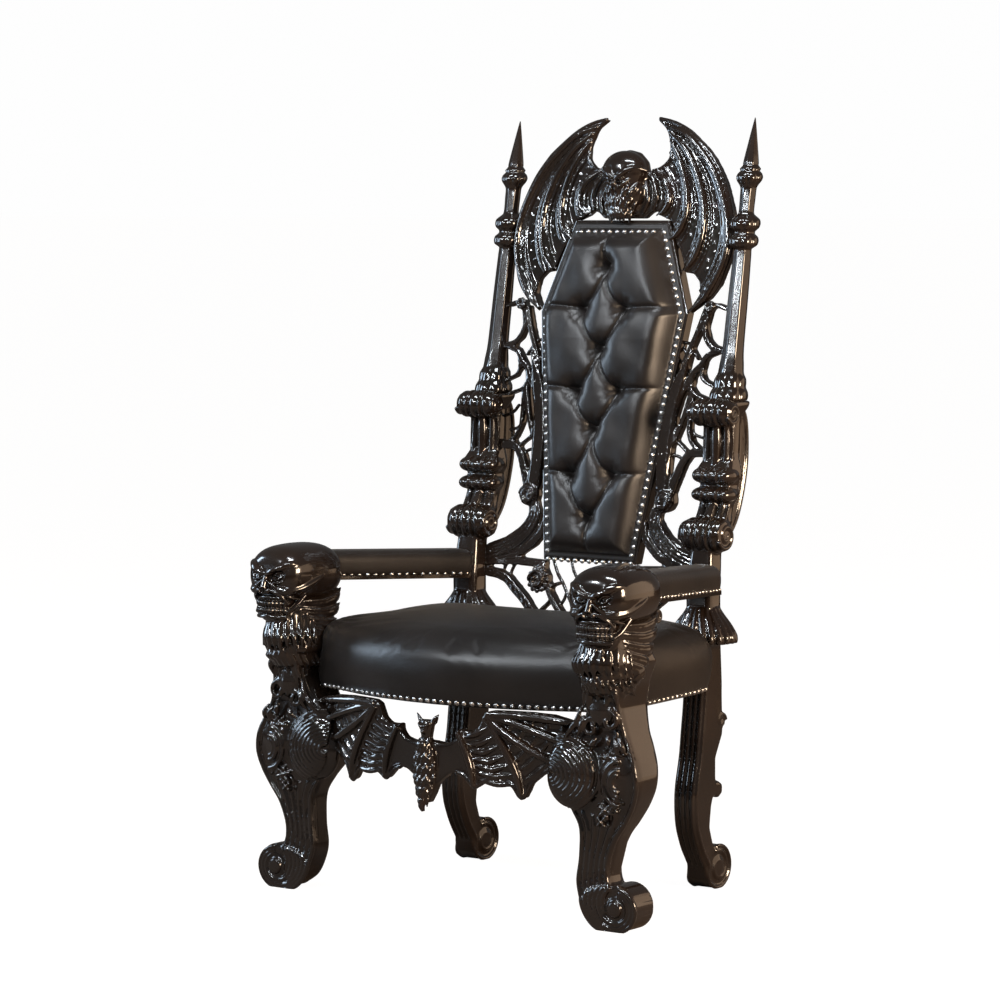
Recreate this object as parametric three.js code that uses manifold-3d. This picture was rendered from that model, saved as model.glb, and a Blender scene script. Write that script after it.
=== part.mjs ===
// High-backed carved throne with a coffin-shaped padded back, in millimetres, +Z up, sitter facing -Y.
// Every carved piece is a faceted solid built from the named sizes below; finer relief is left to the looks.
import * as THREE from 'three';
import { mergeVertices } from 'three/addons/utils/BufferGeometryUtils.js';
import Module from 'manifold-3d';

const wasm = await Module();
wasm.setup();

// Driving sizes, in mm (degrees for the recline). GAP is the clearance between pieces, SOLE how far a
// foot's circle is cut flat, TRIM how closely a carved board keeps its outline when its facets are thinned.
const KNEE_WIDTH = 1090;
const SEAT_DEPTH = 577;
const SEAT_HEIGHT = 487;
const ARM_HEIGHT = 736;
const TOTAL_HEIGHT = 1830;
const RECLINE = 9.7;
const COFFIN_WIDTH = 430;
const BOARD_THICK = 24;
const WEB_THICK = 22;
const RIM_WIDTH = 22;
const RIM_PROUD = 5;
const PAD_CROWN = 50;
const CUSHION_CROWN = 181;
const RAIL_HEIGHT = 42;
const RAIL_WIDTH = 40;
const SKIRT_THICK = 12;
const ARM_PAD_HEIGHT = 63;
const ARM_RAIL_THICK = 9;
const ARM_FALL = 22;
const SKULL_WIDTH = 165;
const SPEAR_RADIUS = 24;
const FOOT_RADIUS = 54;
const SPEAR_SET = 8;
const APRON_THICK = 26;
const RIB_PROUD = 9;
const SOLE = 2;
const TRIM = 0.5;
const GAP = 0.3;

// Sizes measured at these nominal values are carried over to the driving ones.
const X = (v) => v * KNEE_WIDTH / 1090;
const Y = (v) => v * SEAT_DEPTH / 577;
function Z(v) {
  if (v <= 487) return v * SEAT_HEIGHT / 487;
  if (v <= 736) return SEAT_HEIGHT + (v - 487) * (ARM_HEIGHT - SEAT_HEIGHT) / 249;
  return ARM_HEIGHT + (v - 736) * (TOTAL_HEIGHT - ARM_HEIGHT) / 1094;
}
const LEAN = Math.tan(RECLINE * Math.PI / 180);
const backY = (z) => Y(577) + (z - Z(763)) * LEAN;
const lerp = (a, b, t) => a + (b - a) * t;
const V = (x, y, z) => new THREE.Vector3(x, y, z);

// Turns any closed geometry into a solid that can be joined and cut.
function solid(geometry) {
  let g = geometry.clone();
  g.deleteAttribute('normal');
  g.deleteAttribute('uv');
  g = mergeVertices(g, 1e-4);
  const p = g.attributes.position.array;
  let idx = Array.from(g.index.array);
  let volume = 0;
  for (let i = 0; i < idx.length; i += 3) {
    const [a, b, c] = [idx[i] * 3, idx[i + 1] * 3, idx[i + 2] * 3];
    volume += p[a] * (p[b + 1] * p[c + 2] - p[b + 2] * p[c + 1])
      - p[a + 1] * (p[b] * p[c + 2] - p[b + 2] * p[c])
      + p[a + 2] * (p[b] * p[c + 1] - p[b + 1] * p[c]);
  }
  if (volume < 0) {
    for (let i = 0; i < idx.length; i += 3) [idx[i + 1], idx[i + 2]] = [idx[i + 2], idx[i + 1]];
  }
  idx = idx.filter((_, i) => {
    const k = i - i % 3;
    return idx[k] !== idx[k + 1] && idx[k + 1] !== idx[k + 2] && idx[k] !== idx[k + 2];
  });
  const mesh = new wasm.Mesh({
    numProp: 3,
    vertProperties: new Float32Array(p),
    triVerts: new Uint32Array(idx),
  });
  return new wasm.Manifold(mesh);
}

const join = (list) => list.reduce((a, b) => a.add(b));
const cut = (body, list) => list.reduce((a, b) => a.subtract(b), body);
const flip = (m) => m.mirror([1, 0, 0]);
const largest = (m) => m.decompose().sort((a, b) => b.volume() - a.volume())[0];

// A body skinned over closed rings of equal count, with flat ends.
function loft(rings) {
  const n = rings[0].length;
  const pos = [];
  rings.forEach((ring) => ring.forEach((p) => pos.push(p.x, p.y, p.z)));
  const idx = [];
  for (let i = 0; i + 1 < rings.length; i++) {
    for (let j = 0; j < n; j++) {
      const [a, b] = [i * n + j, i * n + (j + 1) % n];
      idx.push(a, b, a + n, b, b + n, a + n);
    }
  }
  const last = (rings.length - 1) * n;
  for (let j = 1; j + 1 < n; j++) {
    idx.push(0, j + 1, j);
    idx.push(last, last + j, last + j + 1);
  }
  const g = new THREE.BufferGeometry();
  g.setAttribute('position', new THREE.Float32BufferAttribute(pos, 3));
  g.setIndex(idx);
  return solid(g);
}

// A ring of points on a superellipse in the plane of two axes.
function oval(centre, u, v, a, b, n, power = 2, turn = 0.5) {
  const ring = [];
  for (let i = 0; i < n; i++) {
    const t = (i + turn) * 2 * Math.PI / n;
    const [c, s] = [Math.cos(t), Math.sin(t)];
    const fa = a * Math.sign(c) * Math.abs(c) ** (2 / power);
    const fb = b * Math.sign(s) * Math.abs(s) ** (2 / power);
    ring.push(centre.clone().addScaledVector(u, fa).addScaledVector(v, fb));
  }
  return ring;
}

const AX = V(1, 0, 0);
const AY = V(0, 1, 0);
const AZ = V(0, 0, 1);

function ball(c, rx, ry, rz, around = 12, rows = 7) {
  const g = new THREE.SphereGeometry(1, around, rows);
  g.rotateX(Math.PI / 2);
  g.scale(rx, ry, rz);
  g.translate(c.x, c.y, c.z);
  return solid(g);
}

function rod(from, to, r, sides = 12, r2 = r) {
  const dir = to.clone().sub(from);
  const g = new THREE.CylinderGeometry(r2, r, dir.length(), sides);
  g.rotateX(Math.PI / 2);
  const m = new THREE.Matrix4().lookAt(dir, V(0, 0, 0), Math.abs(dir.z) > 0.9 * dir.length() ? AX : AZ);
  g.applyMatrix4(m);
  const mid = from.clone().add(to).multiplyScalar(0.5);
  g.translate(mid.x, mid.y, mid.z);
  return solid(g);
}

function box(x0, x1, y0, y1, z0, z1) {
  const g = new THREE.BoxGeometry(x1 - x0, y1 - y0, z1 - z0);
  g.translate((x0 + x1) / 2, (y0 + y1) / 2, (z0 + z1) / 2);
  return solid(g);
}

// Grows a closed outline of [x, z] pairs outwards by a distance.
function grow(outline, by) {
  const n = outline.length;
  let area = 0;
  outline.forEach((p, i) => {
    const q = outline[(i + 1) % n];
    area += p[0] * q[1] - q[0] * p[1];
  });
  const side = area > 0 ? 1 : -1;
  return outline.map((p, i) => {
    const a = outline[(i + n - 1) % n];
    const b = outline[(i + 1) % n];
    const unit = (s, e) => {
      const l = Math.hypot(e[0] - s[0], e[1] - s[1]);
      return [(e[1] - s[1]) / l * side, (s[0] - e[0]) / l * side];
    };
    const [n1, n2] = [unit(a, p), unit(p, b)];
    const k = Math.max(0.35, 1 + n1[0] * n2[0] + n1[1] * n2[1]);
    return [p[0] + by * (n1[0] + n2[0]) / k, p[1] + by * (n1[1] + n2[1]) / k];
  });
}

// A flat board cut to an outline of [x, z] pairs, between two depths, standing in XZ.
function board(outline, d0, d1) {
  const shape = new THREE.Shape(outline.map((p) => new THREE.Vector2(p[0], p[1])));
  const g = new THREE.ExtrudeGeometry(shape, { depth: d1 - d0, bevelEnabled: false, steps: 1 });
  g.rotateX(Math.PI / 2);
  g.translate(0, d1, 0);
  return solid(g);
}

// A ribbon of given half widths along a line of [x, z] pairs, as an outline.
function ribbon(line, half) {
  const wide = (i) => (Array.isArray(half) ? half[i] : half);
  const left = [];
  const right = [];
  line.forEach((p, i) => {
    const a = line[Math.max(0, i - 1)];
    const b = line[Math.min(line.length - 1, i + 1)];
    const l = Math.hypot(b[0] - a[0], b[1] - a[1]);
    const nx = -(b[1] - a[1]) / l;
    const nz = (b[0] - a[0]) / l;
    left.push([p[0] + nx * wide(i), p[1] + nz * wide(i)]);
    right.push([p[0] - nx * wide(i), p[1] - nz * wide(i)]);
  });
  return left.concat(right.reverse());
}

// Leans a body built upright at depth zero back onto the plane of the chair's back.
const lean = (m) => m.warp((v) => { v[1] += backY(v[2]); });
const at = (list) => list.map((p) => [X(p[0]), Z(p[1])]);
const both = (m) => m.add(flip(m));

// A leg section between an inner and an outer point of its outline, with chamfered corners.
function section(inner, outer, front, rear, chamfer, g) {
  const dir = outer.clone().sub(inner).normalize();
  const a = inner.clone().addScaledVector(dir, -g);
  const l = outer.clone().addScaledVector(dir, g).distanceTo(a);
  const [f, r] = [front - g, rear + g];
  const put = (s, y) => V(a.x + dir.x * s, y, a.z + dir.z * s);
  const c = Math.min(chamfer, l / 3, (r - f) / 3);
  return [put(c, f), put(l - c, f), put(l, f + c), put(l, r - c),
    put(l - c, r), put(c, r), put(0, r - c), put(0, f + c)];
}

// Skull: cranium, face, cheeks and nose, with cut eye hollows and the line of the teeth.
function skull(g) {
  const k = SKULL_WIDTH / 165;
  const w = 1 + g / 60;
  const s = (v) => v * k;
  const ringY = (y, half, z0, z1, p = 2.3) => oval(V(0, s(y), s((z0 + z1) / 2)), AX, AZ,
    s(half) + g, s((z1 - z0) / 2) + g, 10, p);
  const head = loft([ringY(-101 - g, 30, 722, 764), ringY(-90, 60, 698, 794), ringY(-58, 76, 688, 813),
    ringY(0, 82.5, 684, 822), ringY(50, 80, 688, 819), ringY(88, 62, 706, 801), ringY(107 + g, 28, 734, 770)]);
  const ringZ = (z, half, front, rear) => oval(V(0, s((front + rear) / 2), s(z)), AX, AY,
    s(half) + g, s((rear - front) / 2) + g, 8, 3);
  const face = loft([ringZ(642 - g, 40, -92, 20), ringZ(653, 46, -104, 25), ringZ(684, 49, -107, 30),
    ringZ(708, 62, -97, 20), ringZ(748, 62, -92, 0)]);
  const parts = [head, face];
  [-1, 1].forEach((m) => {
    parts.push(ball(V(s(57 * m), s(-66), s(706)), s(15) * w, s(34) * w, s(13) * w, 5, 4));
  });
  parts.push(loft([oval(V(0, s(-104), s(722)), AX, AY, s(6) + g, s(9) + g, 6),
    oval(V(0, s(-110), s(704)), AX, AY, s(15) + g, s(12) + g, 6),
    oval(V(0, s(-104), s(694)), AX, AY, s(10) + g, s(8) + g, 6)]));
  let body = join(parts);
  if (g === 0) {
    const cuts = [];
    [-1, 1].forEach((m) => {
      const eye = ball(V(0, 0, 0), s(22), s(16), s(11), 6, 4).rotate([0, -18 * m, 0]);
      cuts.push(eye.translate([s(29 * m), s(-104), s(731)]));
    });
    cuts.push(box(s(-44), s(44), s(-130), s(-103), s(675), s(678)));
    body = cut(body, cuts);
  }
  return body.translate([0, 0, -s(736)]).rotate([0, 0, 3]).translate([X(457), Y(11), ARM_HEIGHT]);
}

// Front post: scroll foot, shank, shell knee, ruffs, mane and skull carved in one.
function frontPost(g = 0) {
  const st = (xi, zi, xo, zo, f, r) => section(V(X(xi), 0, Z(zi)), V(X(xo), 0, Z(zo)), Y(f), Y(r), X(14), g);
  const shank = loft([
    st(410, 672 + g, 500, 672 + g, -60, 70), st(392, 600, 512, 600, -58, 112), st(396, 552, 494, 552, -40, 112),
    st(403, 500, 492, 500, -26, 100), st(380, 458, 504, 448, -22, 94), st(334, 428, 522, 410, -26, 88),
    st(308, 372, 541, 368, -32, 76), st(307, 340, 545, 325, -32, 66), st(330, 306, 532, 284, -28, 58),
    st(362, 268, 508, 244, -24, 52), st(386, 226, 482, 208, -22, 48),
    st(381, 106, 460, 122, -22, 45), st(391, 66, 470, 96, -26, 45), st(412, 30, 480, 76, -28, 45),
    st(450, 3, 488, 60, -28, 45)]);
  const [fx, fz] = [X(488), FOOT_RADIUS - SOLE];
  const foot = [
    rod(V(fx, Y(-28) - g, fz), V(fx, Y(45) + g, fz), FOOT_RADIUS + g, 12),
    rod(V(fx, Y(-33) - g, fz), V(fx, Y(-20), fz), FOOT_RADIUS * 0.42 + g, 7, FOOT_RADIUS * 0.5 + g),
  ];
  const parts = [shank, ...foot];
  // Shell on the inner half of the knee, scrolls on its outer half and above, and two ruffs below the jaw.
  const boss = (x, z, rx, ry, rz) => ball(V(X(x), Y(-28), Z(z)), X(rx) + g, Y(ry) + g, X(rz) + g, 7, 4);
  parts.push(boss(368, 338, 68, 24, 70), boss(478, 352, 44, 15, 62), boss(448, 496, 42, 18, 36));
  const ruff = (z0, z1, h0, h1, f0, f1) => {
    const ring = (z, h, f) => oval(V(X(446), Y((f + 60) / 2), Z(z)), AX, AY,
      X(h) + g, Y((60 - f) / 2) + g, 8, 2.6);
    return loft([ring(z0, h0 * 0.8, f0 + 14), ring(z0 + 8, h0, f0), ring(z1, h1, f1)]);
  };
  parts.push(ruff(564, 652, 68, 48, -76, -72));
  parts.push(ruff(536, 572, 60, 58, -58, -58));
  // Mane behind the jaw: stacked shell lobes and a knob.
  const lobes = [[682, 113, 30], [636, 105, 34], [584, 99, 36]];
  lobes.forEach(([z, y, r], i) => {
    parts.push(ball(V(X(468), Y(y - 30), Z(z)), X(36 + i) + g, Y(46 + r / 3) + g, X(r * 0.74) + g, 6, 4));
  });
  parts.push(ball(V(X(478), Y(124), Z(678)), X(20) + g, Y(20) + g, X(20) + g, 6, 3));
  let body = join([...parts, skull(g)]);
  if (g === 0) body = body.subtract(box(0, 900, -400, 400, -50, 0));
  return body;
}

// Back post: scroll foot, leg, pleated collar and scroll column, in side view with a width in X.
function backPost(g = 0) {
  const mid = X(343);
  const c = X(8);
  const st = (y0, z0, y1, z1, half) => {
    const a = V(0, Y(y0), Z(z0));
    const b = V(0, Y(y1), Z(z1));
    const dir = b.clone().sub(a).normalize();
    const p = a.clone().addScaledVector(dir, -g);
    const l = b.clone().addScaledVector(dir, g).distanceTo(p);
    const put = (s, x) => V(mid + x, p.y + dir.y * s, p.z + dir.z * s);
    const h = X(half) + g;
    return [put(c, -h), put(l - c, -h), put(l, -h + c), put(l, h - c),
      put(l - c, h), put(c, h), put(0, h - c), put(0, -h + c)];
  };
  const leg = loft([
    st(536, 812, 592, 812, 30), st(520, 716, 580, 716, 35), st(520, 600, 582, 600, 34), st(514, 500, 592, 500, 32),
    st(500, 376, 600, 368, 29), st(492, 318, 572, 314, 28),
    st(476, 250, 574, 246, 27), st(473, 204, 556, 200, 27), st(484, 140, 549, 150, 27),
    st(506, 92, 562, 110, 28), st(530, 56, 572, 96, 28)]);
  const roll = (y, z, r, half, sides) => rod(V(mid - X(half) - g, Y(y), z), V(mid + X(half) + g, Y(y), z),
    r + g, sides);
  const parts = [leg,
    roll(576, FOOT_RADIUS - SOLE, FOOT_RADIUS, 28, 12), roll(576, FOOT_RADIUS - SOLE, FOOT_RADIUS * 0.45, 33, 6),
    roll(588, Z(400), Y(22), 28, 6), roll(580, Z(236), Y(22), 27, 6)];
  // Pleated collar: a bell over the post.
  const bell = (z, a, b) => oval(V(mid, Y(550), Z(z)), AX, AY, X(a) + g, Y(b) + g, 8, 2.2);
  parts.push(loft([bell(588 - g, 80, 62), bell(602, 79, 61), bell(640, 56, 48), bell(670 + g, 36, 34)]));
  // Scroll column with two rings, a top and a bottom roll and a board behind with a C-shaped rear edge.
  const column = loft([
    st(604, 1158, 690, 1158, 47), st(606, 1142, 686, 1142, 45), st(622, 1118, 662, 1118, 38),
    st(612, 1030, 655, 1030, 38), st(582, 992, 650, 992, 50), st(580, 972, 648, 972, 50), st(596, 958, 643, 958, 42),
    st(582, 944, 640, 944, 49), st(582, 928, 636, 928, 49), st(592, 912, 634, 912, 38), st(592, 890, 626, 890, 38), st(560, 872, 616, 872, 44), st(540, 806, 596, 806, 34)]);
  parts.push(column, roll(592, Z(1130), Y(28), 55, 9), roll(562, Z(842), Y(38), 55, 10));
  const side = (y0, y1, z, grow) => [V(mid - X(26) - g, Y(y0), Z(z) + grow), V(mid + X(26) + g, Y(y0), Z(z) + grow),
    V(mid + X(26) + g, Y(y1) + g, Z(z) + grow), V(mid - X(26) - g, Y(y1) + g, Z(z) + grow)];
  parts.push(loft([side(566, 592, 812, -g), side(572, 626, 842, 0), side(588, 659, 883, 0), side(600, 684, 945, 0),
    side(612, 699, 1013, 0), side(618, 699, 1085, 0), side(620, 687, 1128, 0), side(620, 655, 1154, g)]));
  let body = join(parts);
  const top = Z(1157) + g;
  body = body.subtract(box(0, 900, 0, 1200, top, top + 100));
  if (g === 0) body = body.subtract(box(0, 900, -400, 900, -50, 0));
  return body;
}

// Eight-sided spear standing on the scroll block and leaning with the back.
function spear(g = 0) {
  const k = SPEAR_RADIUS / 24;
  const rows = [[1157, 46], [1172, 44], [1198, 37], [1216, 33], [1240, 30], [1283, 26], [1400, 24.5], [1516, 22],
    [1524, 33], [1540, 34], [1555, 27], [1570, 35], [1586, 34], [1596, 23], [1608, 18.5], [1662, 20], [1684, 31],
    [1695, 30], [1708, 22], [1724, 18.5], [1830, 1]];
  return loft(rows.map(([z, r], i) => {
    const h = Z(z) + (i === 0 ? GAP - g : 0) + (i === rows.length - 1 ? g : 0);
    return oval(V(X(345), backY(Z(z)) + SPEAR_SET, h), AX, AY, r * k + g, r * k + g, 8);
  }));
}

// Coffin outline, symmetric, as [x, z] pairs.
function coffin(by = 0) {
  const half = COFFIN_WIDTH / 2;
  const right = [[half * 0.628, Z(758)], [half, Z(1360)], [half * 0.637, Z(1583)]];
  return grow(right.concat(right.map((p) => [-p[0], p[1]]).reverse()), by);
}
const coffinBlock = (by) => lean(board(coffin(by), -90, BOARD_THICK + 20));

function coffinBoard() {
  const rim = lean(board(coffin(), -RIM_PROUD, RIM_PROUD));
  const seat = lean(board(coffin(-RIM_WIDTH), -30, 0));
  return lean(board(coffin(), 0, BOARD_THICK)).add(rim).subtract(seat);
}

// Thick back pad: rings that swell from the rim and close on a raised crown.
function coffinPad() {
  const edge = -RIM_WIDTH - 1;
  const rows = [[0, -GAP], [0, 7], [-7, 8], [-8, 24], [-13, 40], [-23, 50], [-39, 56], [-67, 60]];
  const fine = (outline) => {
    const out = [];
    outline.forEach((p, i) => {
      const q = outline[(i + 1) % outline.length];
      const n = Math.abs(q[1] - p[1]) > 400 ? 6 : 4;
      for (let j = 0; j < n; j++) out.push([lerp(p[0], q[0], j / n), lerp(p[1], q[1], j / n)]);
    });
    return out;
  };
  const full = (z) => lerp(PAD_CROWN, PAD_CROWN * 1.45, Math.min(1, Math.max(0, (z - Z(800)) / Z(500)))) / 60;
  return lean(loft(rows.map(([by, d]) => {
    const outline = fine(coffin(edge + by));
    return outline.map(([x, z]) => V(x, d < 0 ? d : -d * full(z), z));
  })));
}

// Bat crest: pierced wings, ribs, domed head and furry body.
function batWing() {
  return at([[0, 1700], [67, 1700], [98, 1707], [122, 1730], [124, 1763], [107, 1805], [74, 1830], [113, 1824],
    [140, 1813], [167, 1798], [220, 1756], [245, 1730], [263, 1705], [280, 1679], [293, 1651], [312, 1603], [321, 1550], [318, 1500],
    [305, 1462], [294, 1430], [268, 1396], [217, 1362], [240, 1405], [234, 1437], [216, 1455], [190, 1458], [182, 1488],
    [168, 1518], [139, 1531], [147, 1563], [132, 1583], [106, 1594], [92, 1606], [74, 1600], [60, 1587], [0, 1587]]);
}
function batCrest() {
  const right = batWing();
  const left = right.slice(1, -1).map((p) => [-p[0], p[1]]).reverse();
  const parts = [board([...right.slice(1, -1), ...left], 0, BOARD_THICK)];
  const ribs = [
    [[100, 1812], [160, 1790], [214, 1744], [258, 1690], [292, 1620], [308, 1550], [300, 1480], [222, 1366]],
    [[112, 1796], [158, 1760], [202, 1700], [230, 1630], [236, 1560], [194, 1462]],
    [[118, 1776], [150, 1730], [176, 1670], [184, 1610], [142, 1534]],
    [[84, 1700], [112, 1680], [130, 1650], [128, 1618], [106, 1596]]];
  ribs.forEach((r) => parts.push(both(board(ribbon(at(r), [4, ...r.slice(2).map(() => 7), 4]), -RIB_PROUD, RIB_PROUD))));
  parts.push(ball(V(0, 0, Z(1692)), X(66), 44, Z(1755) - Z(1692), 10, 6));
  parts.push(ball(V(0, -22, Z(1668)), X(30), 32, 30, 7, 4));
  parts.push(ball(V(0, -4, Z(1640)), X(62), 30, 52, 8, 4));
  return cut(lean(join(parts).simplify(TRIM)), [coffinBlock(GAP), spear(GAP), flip(spear(GAP))]);
}

// Pierced web between the coffin and the posts, and below the coffin.
function webStrands() {
  return [
    [[[273, 1374], [263, 1328], [274, 1297], [291, 1281], [330, 1270]], 7.5],
    [[[275, 1376], [292, 1381], [330, 1370]], 6],
    [[[262, 1372], [244, 1314], [219, 1253], [192, 1168], [182, 1110]], 8],
    [[[310, 1273], [278, 1261], [264, 1240], [232, 1198], [213, 1162], [200, 1110]], 7.5],
    [[[272, 1245], [267, 1220], [277, 1201], [330, 1178]], 5],
    [[[244, 1212], [241, 1183], [257, 1167], [310, 1150]], 5],
    [[[180, 1320], [232, 1316]], 4],
    [[[176, 1249], [216, 1244]], 4],
    [[[170, 1206], [206, 1202]], 4],
    [[[236, 1272], [253, 1250]], 4],
    [[[244, 1184], [222, 1092], [205, 1050]], 7],
    [[[248, 1170], [246, 1084], [259, 1053], [285, 1034]], 6],
    [[[322, 1036], [257, 1028], [237, 1005], [220, 965], [204, 920]], [11, 10, 12, 14, 14]],
    [[[212, 1056], [243, 1033]], 4],
    [[[182, 896], [176, 868], [186, 842], [208, 815], [250, 785], [330, 760]], [8, 14, 20, 22, 24, 20]],
    [[[140, 900], [140, 868], [150, 828], [176, 797], [215, 772], [330, 752]], [9, 11, 12, 12, 12, 12]],
    [[[146, 836], [178, 838]], 4],
    [[[330, 722], [271, 715], [243, 705], [187, 658], [156, 623], [135, 580], [116, 500]], 12],
    [[[146, 752], [122, 699], [109, 672], [66, 620], [46, 580], [32, 500]], 8.5],
    [[[114, 770], [72, 702], [52, 670], [28, 640], [-6, 618]], 6],
    [[[58, 770], [44, 733], [20, 706], [-6, 690]], 5.5],
    [[[330, 744], [229, 750], [130, 745]], 10],
    [[[121, 691], [86, 703]], 4.5],
    [[[152, 620], [110, 658]], 4.5],
    [[[136, 580], [46, 596]], 4.5],
    [[[48, 584], [-4, 560]], 4.5],
  ];
}
// A round boss or scroll of the web, between two depths.
const disc = (x, z, r, d0, d1, n) => rod(V(X(x), d0, Z(z)), V(X(x), d1, Z(z)), r, n);
function web() {
  const parts = webStrands().map(([line, half]) => board(ribbon(at(line), half), 0, WEB_THICK));
  // Fluted stalk, its scroll, the leaf knot and the round boss.
  const stalk = [[214, 1240], [181, 1177], [172, 1120], [165, 1058], [170, 930], [206, 930], [204, 1000], [209, 1120],
    [219, 1178], [236, 1274]];
  parts.push(board(at(stalk), -6, WEB_THICK));
  parts.push(disc(199, 913, 29, -8, WEB_THICK, 9), disc(199, 913, 13, -13, 0, 6));
  parts.push(disc(146, 708, 31, 0, WEB_THICK, 10), ball(V(X(146), 2, Z(708)), 28, 16, 28, 6, 4));
  parts.push(disc(276, 1378, 11, -6, WEB_THICK, 6));
  const slab = lean(both(join(parts).simplify(2 * TRIM)));
  const frame = [coffinBlock(GAP), spear(GAP), flip(spear(GAP)), backPost(GAP), flip(backPost(GAP)), crestBlock()];
  const level = Z(478) + RAIL_HEIGHT + GAP;
  return largest(cut(slab, [...frame, box(-900, 900, 0, 1200, 0, level)]));
}
// Room kept for the bat crest in the web.
function crestBlock() {
  return lean(both(board(grow(batWing(), TRIM + GAP), -60, 60)));
}

// Seat plan: bowed front, tapering sides.
function seatPlan(inset) {
  const pts = [];
  for (let i = 0; i <= 4; i++) {
    const x = 352 * i / 4;
    pts.push([x, -66 + 86 * (x / 352) ** 2]);
  }
  pts.push([392, 34], [418, 52], [430, 82], [420, 260], [404, 450], [396, 488], [376, 508], [340, 512],
    [170, 512]);
  const right = pts.map((p) => [X(p[0]), Y(p[1])]);
  const left = right.slice(1).map((p) => [-p[0], p[1]]).reverse();
  return grow([...right, [0, Y(512)], ...left], -inset);
}
function cushion() {
  const rise = CUSHION_CROWN / 181;
  const base = Z(487);
  const rows = [[0, -7], [-7, 20], [-8, 90], [8, 127], [26, 144], [70, 162], [180, 181]];
  const plan = seatPlan(0);
  const [hx, hy, cy] = [X(430), Y(290), Y(222)];
  let body = loft(rows.map(([inset, dz]) => {
    const [sx, sy] = [(hx - inset) / hx, (hy - inset) / hy];
    return plan.map(([x, y]) => V(x * sx, cy + (y - cy) * sy, base + (dz > 0 ? dz * rise : dz)));
  }));
  body = body.subtract(box(-900, 900, Y(512), 900, 0, 900));
  const hollow = seatPlan(SKIRT_THICK).map(([x, y]) => V(x, y, 0));
  const low = base - 20;
  const high = Z(478) + RAIL_HEIGHT + GAP;
  const room = loft([hollow.map((p) => V(p.x, p.y, low)), hollow.map((p) => V(p.x, p.y, high))]);
  const back = box(-X(300), X(300), Y(480), Y(600), low, high);
  const beside = [frontPost(GAP), backPost(GAP), armRail(GAP), armPad(GAP)];
  return largest(cut(body, [room, back, ...beside, ...beside.map(flip)]));
}

// Seat rails: a bowed front rail, two side rails and a back rail.
function rails() {
  const [z0, z1] = [Z(478), Z(478) + RAIL_HEIGHT];
  const slab = (inset) => {
    const plan = seatPlan(inset);
    return loft([plan.map(([x, y]) => V(x, y, z0)), plan.map(([x, y]) => V(x, y, z1))]);
  };
  const inner = slab(SKIRT_THICK + RAIL_WIDTH).add(box(-X(300), X(300), Y(200), Y(520), z0 - 1, z1 + 1));
  const ring = slab(SKIRT_THICK + GAP).subtract(inner);
  const legs = [frontPost(GAP), flip(frontPost(GAP)), backPost(GAP), flip(backPost(GAP))];
  const front = cut(ring.intersect(box(-X(370), X(370), -200, Y(150), z0, z1)), legs);
  const side = cut(ring.intersect(box(X(370) + 2 * GAP, X(500), Y(60), Y(530), z0, z1)), legs);
  const back = cut(box(-X(345), X(345), Y(514), Y(562), z0, z1), legs);
  return { front: largest(front), right: largest(side), back: largest(back) };
}

// Bat apron: wings with finger ribs bowed under the seat front, and a small eared body.
const bow = (x) => Y(-80) + Y(60) * (x / X(330)) ** 2;
function apron() {
  const half = [[0, 398], [20, 397], [46, 394], [68, 400], [80, 412], [84, 433], [92, 428], [118, 428], [136, 438],
    [150, 470], [166, 477], [236, 479], [310, 474], [345, 464], [400, 440], [400, 370], [316, 354], [284, 334], [262, 314], [246, 279],
    [236, 284], [222, 305], [200, 322], [184, 327], [160, 318], [138, 304], [127, 296], [118, 304], [100, 322], [80, 330],
    [60, 326], [40, 312], [24, 298], [14, 275], [0, 252]];
  const right = at(half);
  const left = right.slice(1, -1).map((p) => [-p[0], p[1]]).reverse();
  const parts = [board([...right, ...left], 0, APRON_THICK)];
  const ribs = [
    [[160, 470], [240, 470], [330, 462], [396, 448]], [[160, 468], [240, 448], [320, 420], [380, 400]],
    [[156, 464], [200, 400], [232, 340], [246, 286]], [[158, 466], [220, 420], [290, 380], [350, 366]],
    [[86, 424], [108, 380], [122, 340], [127, 300]]];
  ribs.forEach((r) => parts.push(both(board(ribbon(at(r), 5.5), -RIB_PROUD, RIB_PROUD))));
  // The small bat's body and ears, from the point below to the crown.
  const ring = (x, y, z, a, b, n) => oval(V(x, y, Z(z)), AX, AY, a, b, n);
  parts.push(loft([ring(0, 6, 254, 4, 6, 8), ring(0, 0, 285, 22, 18, 8), ring(0, -2, 330, 34, 24, 8),
    ring(0, -2, 370, 30, 24, 8), ring(0, 0, 404, 14, 14, 8), ring(0, 0, 430, 20, 16, 8), ring(0, 2, 446, 17, 12, 8)]));
  parts.push(both(loft([ring(15, 4, 436, 12, 6, 5), ring(35, 4, 462, 1.5, 1, 5)])));
  // Long faces are split so that the board follows the bow.
  const flat = join(parts).simplify(TRIM).refineToLength(X(180));
  const body = flat.warp((v) => { v[1] += bow(v[0]); });
  const top = Z(478) - GAP;
  return largest(cut(body, [box(-900, 900, -400, 400, top, top + 200), frontPost(GAP), flip(frontPost(GAP))]));
}

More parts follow.
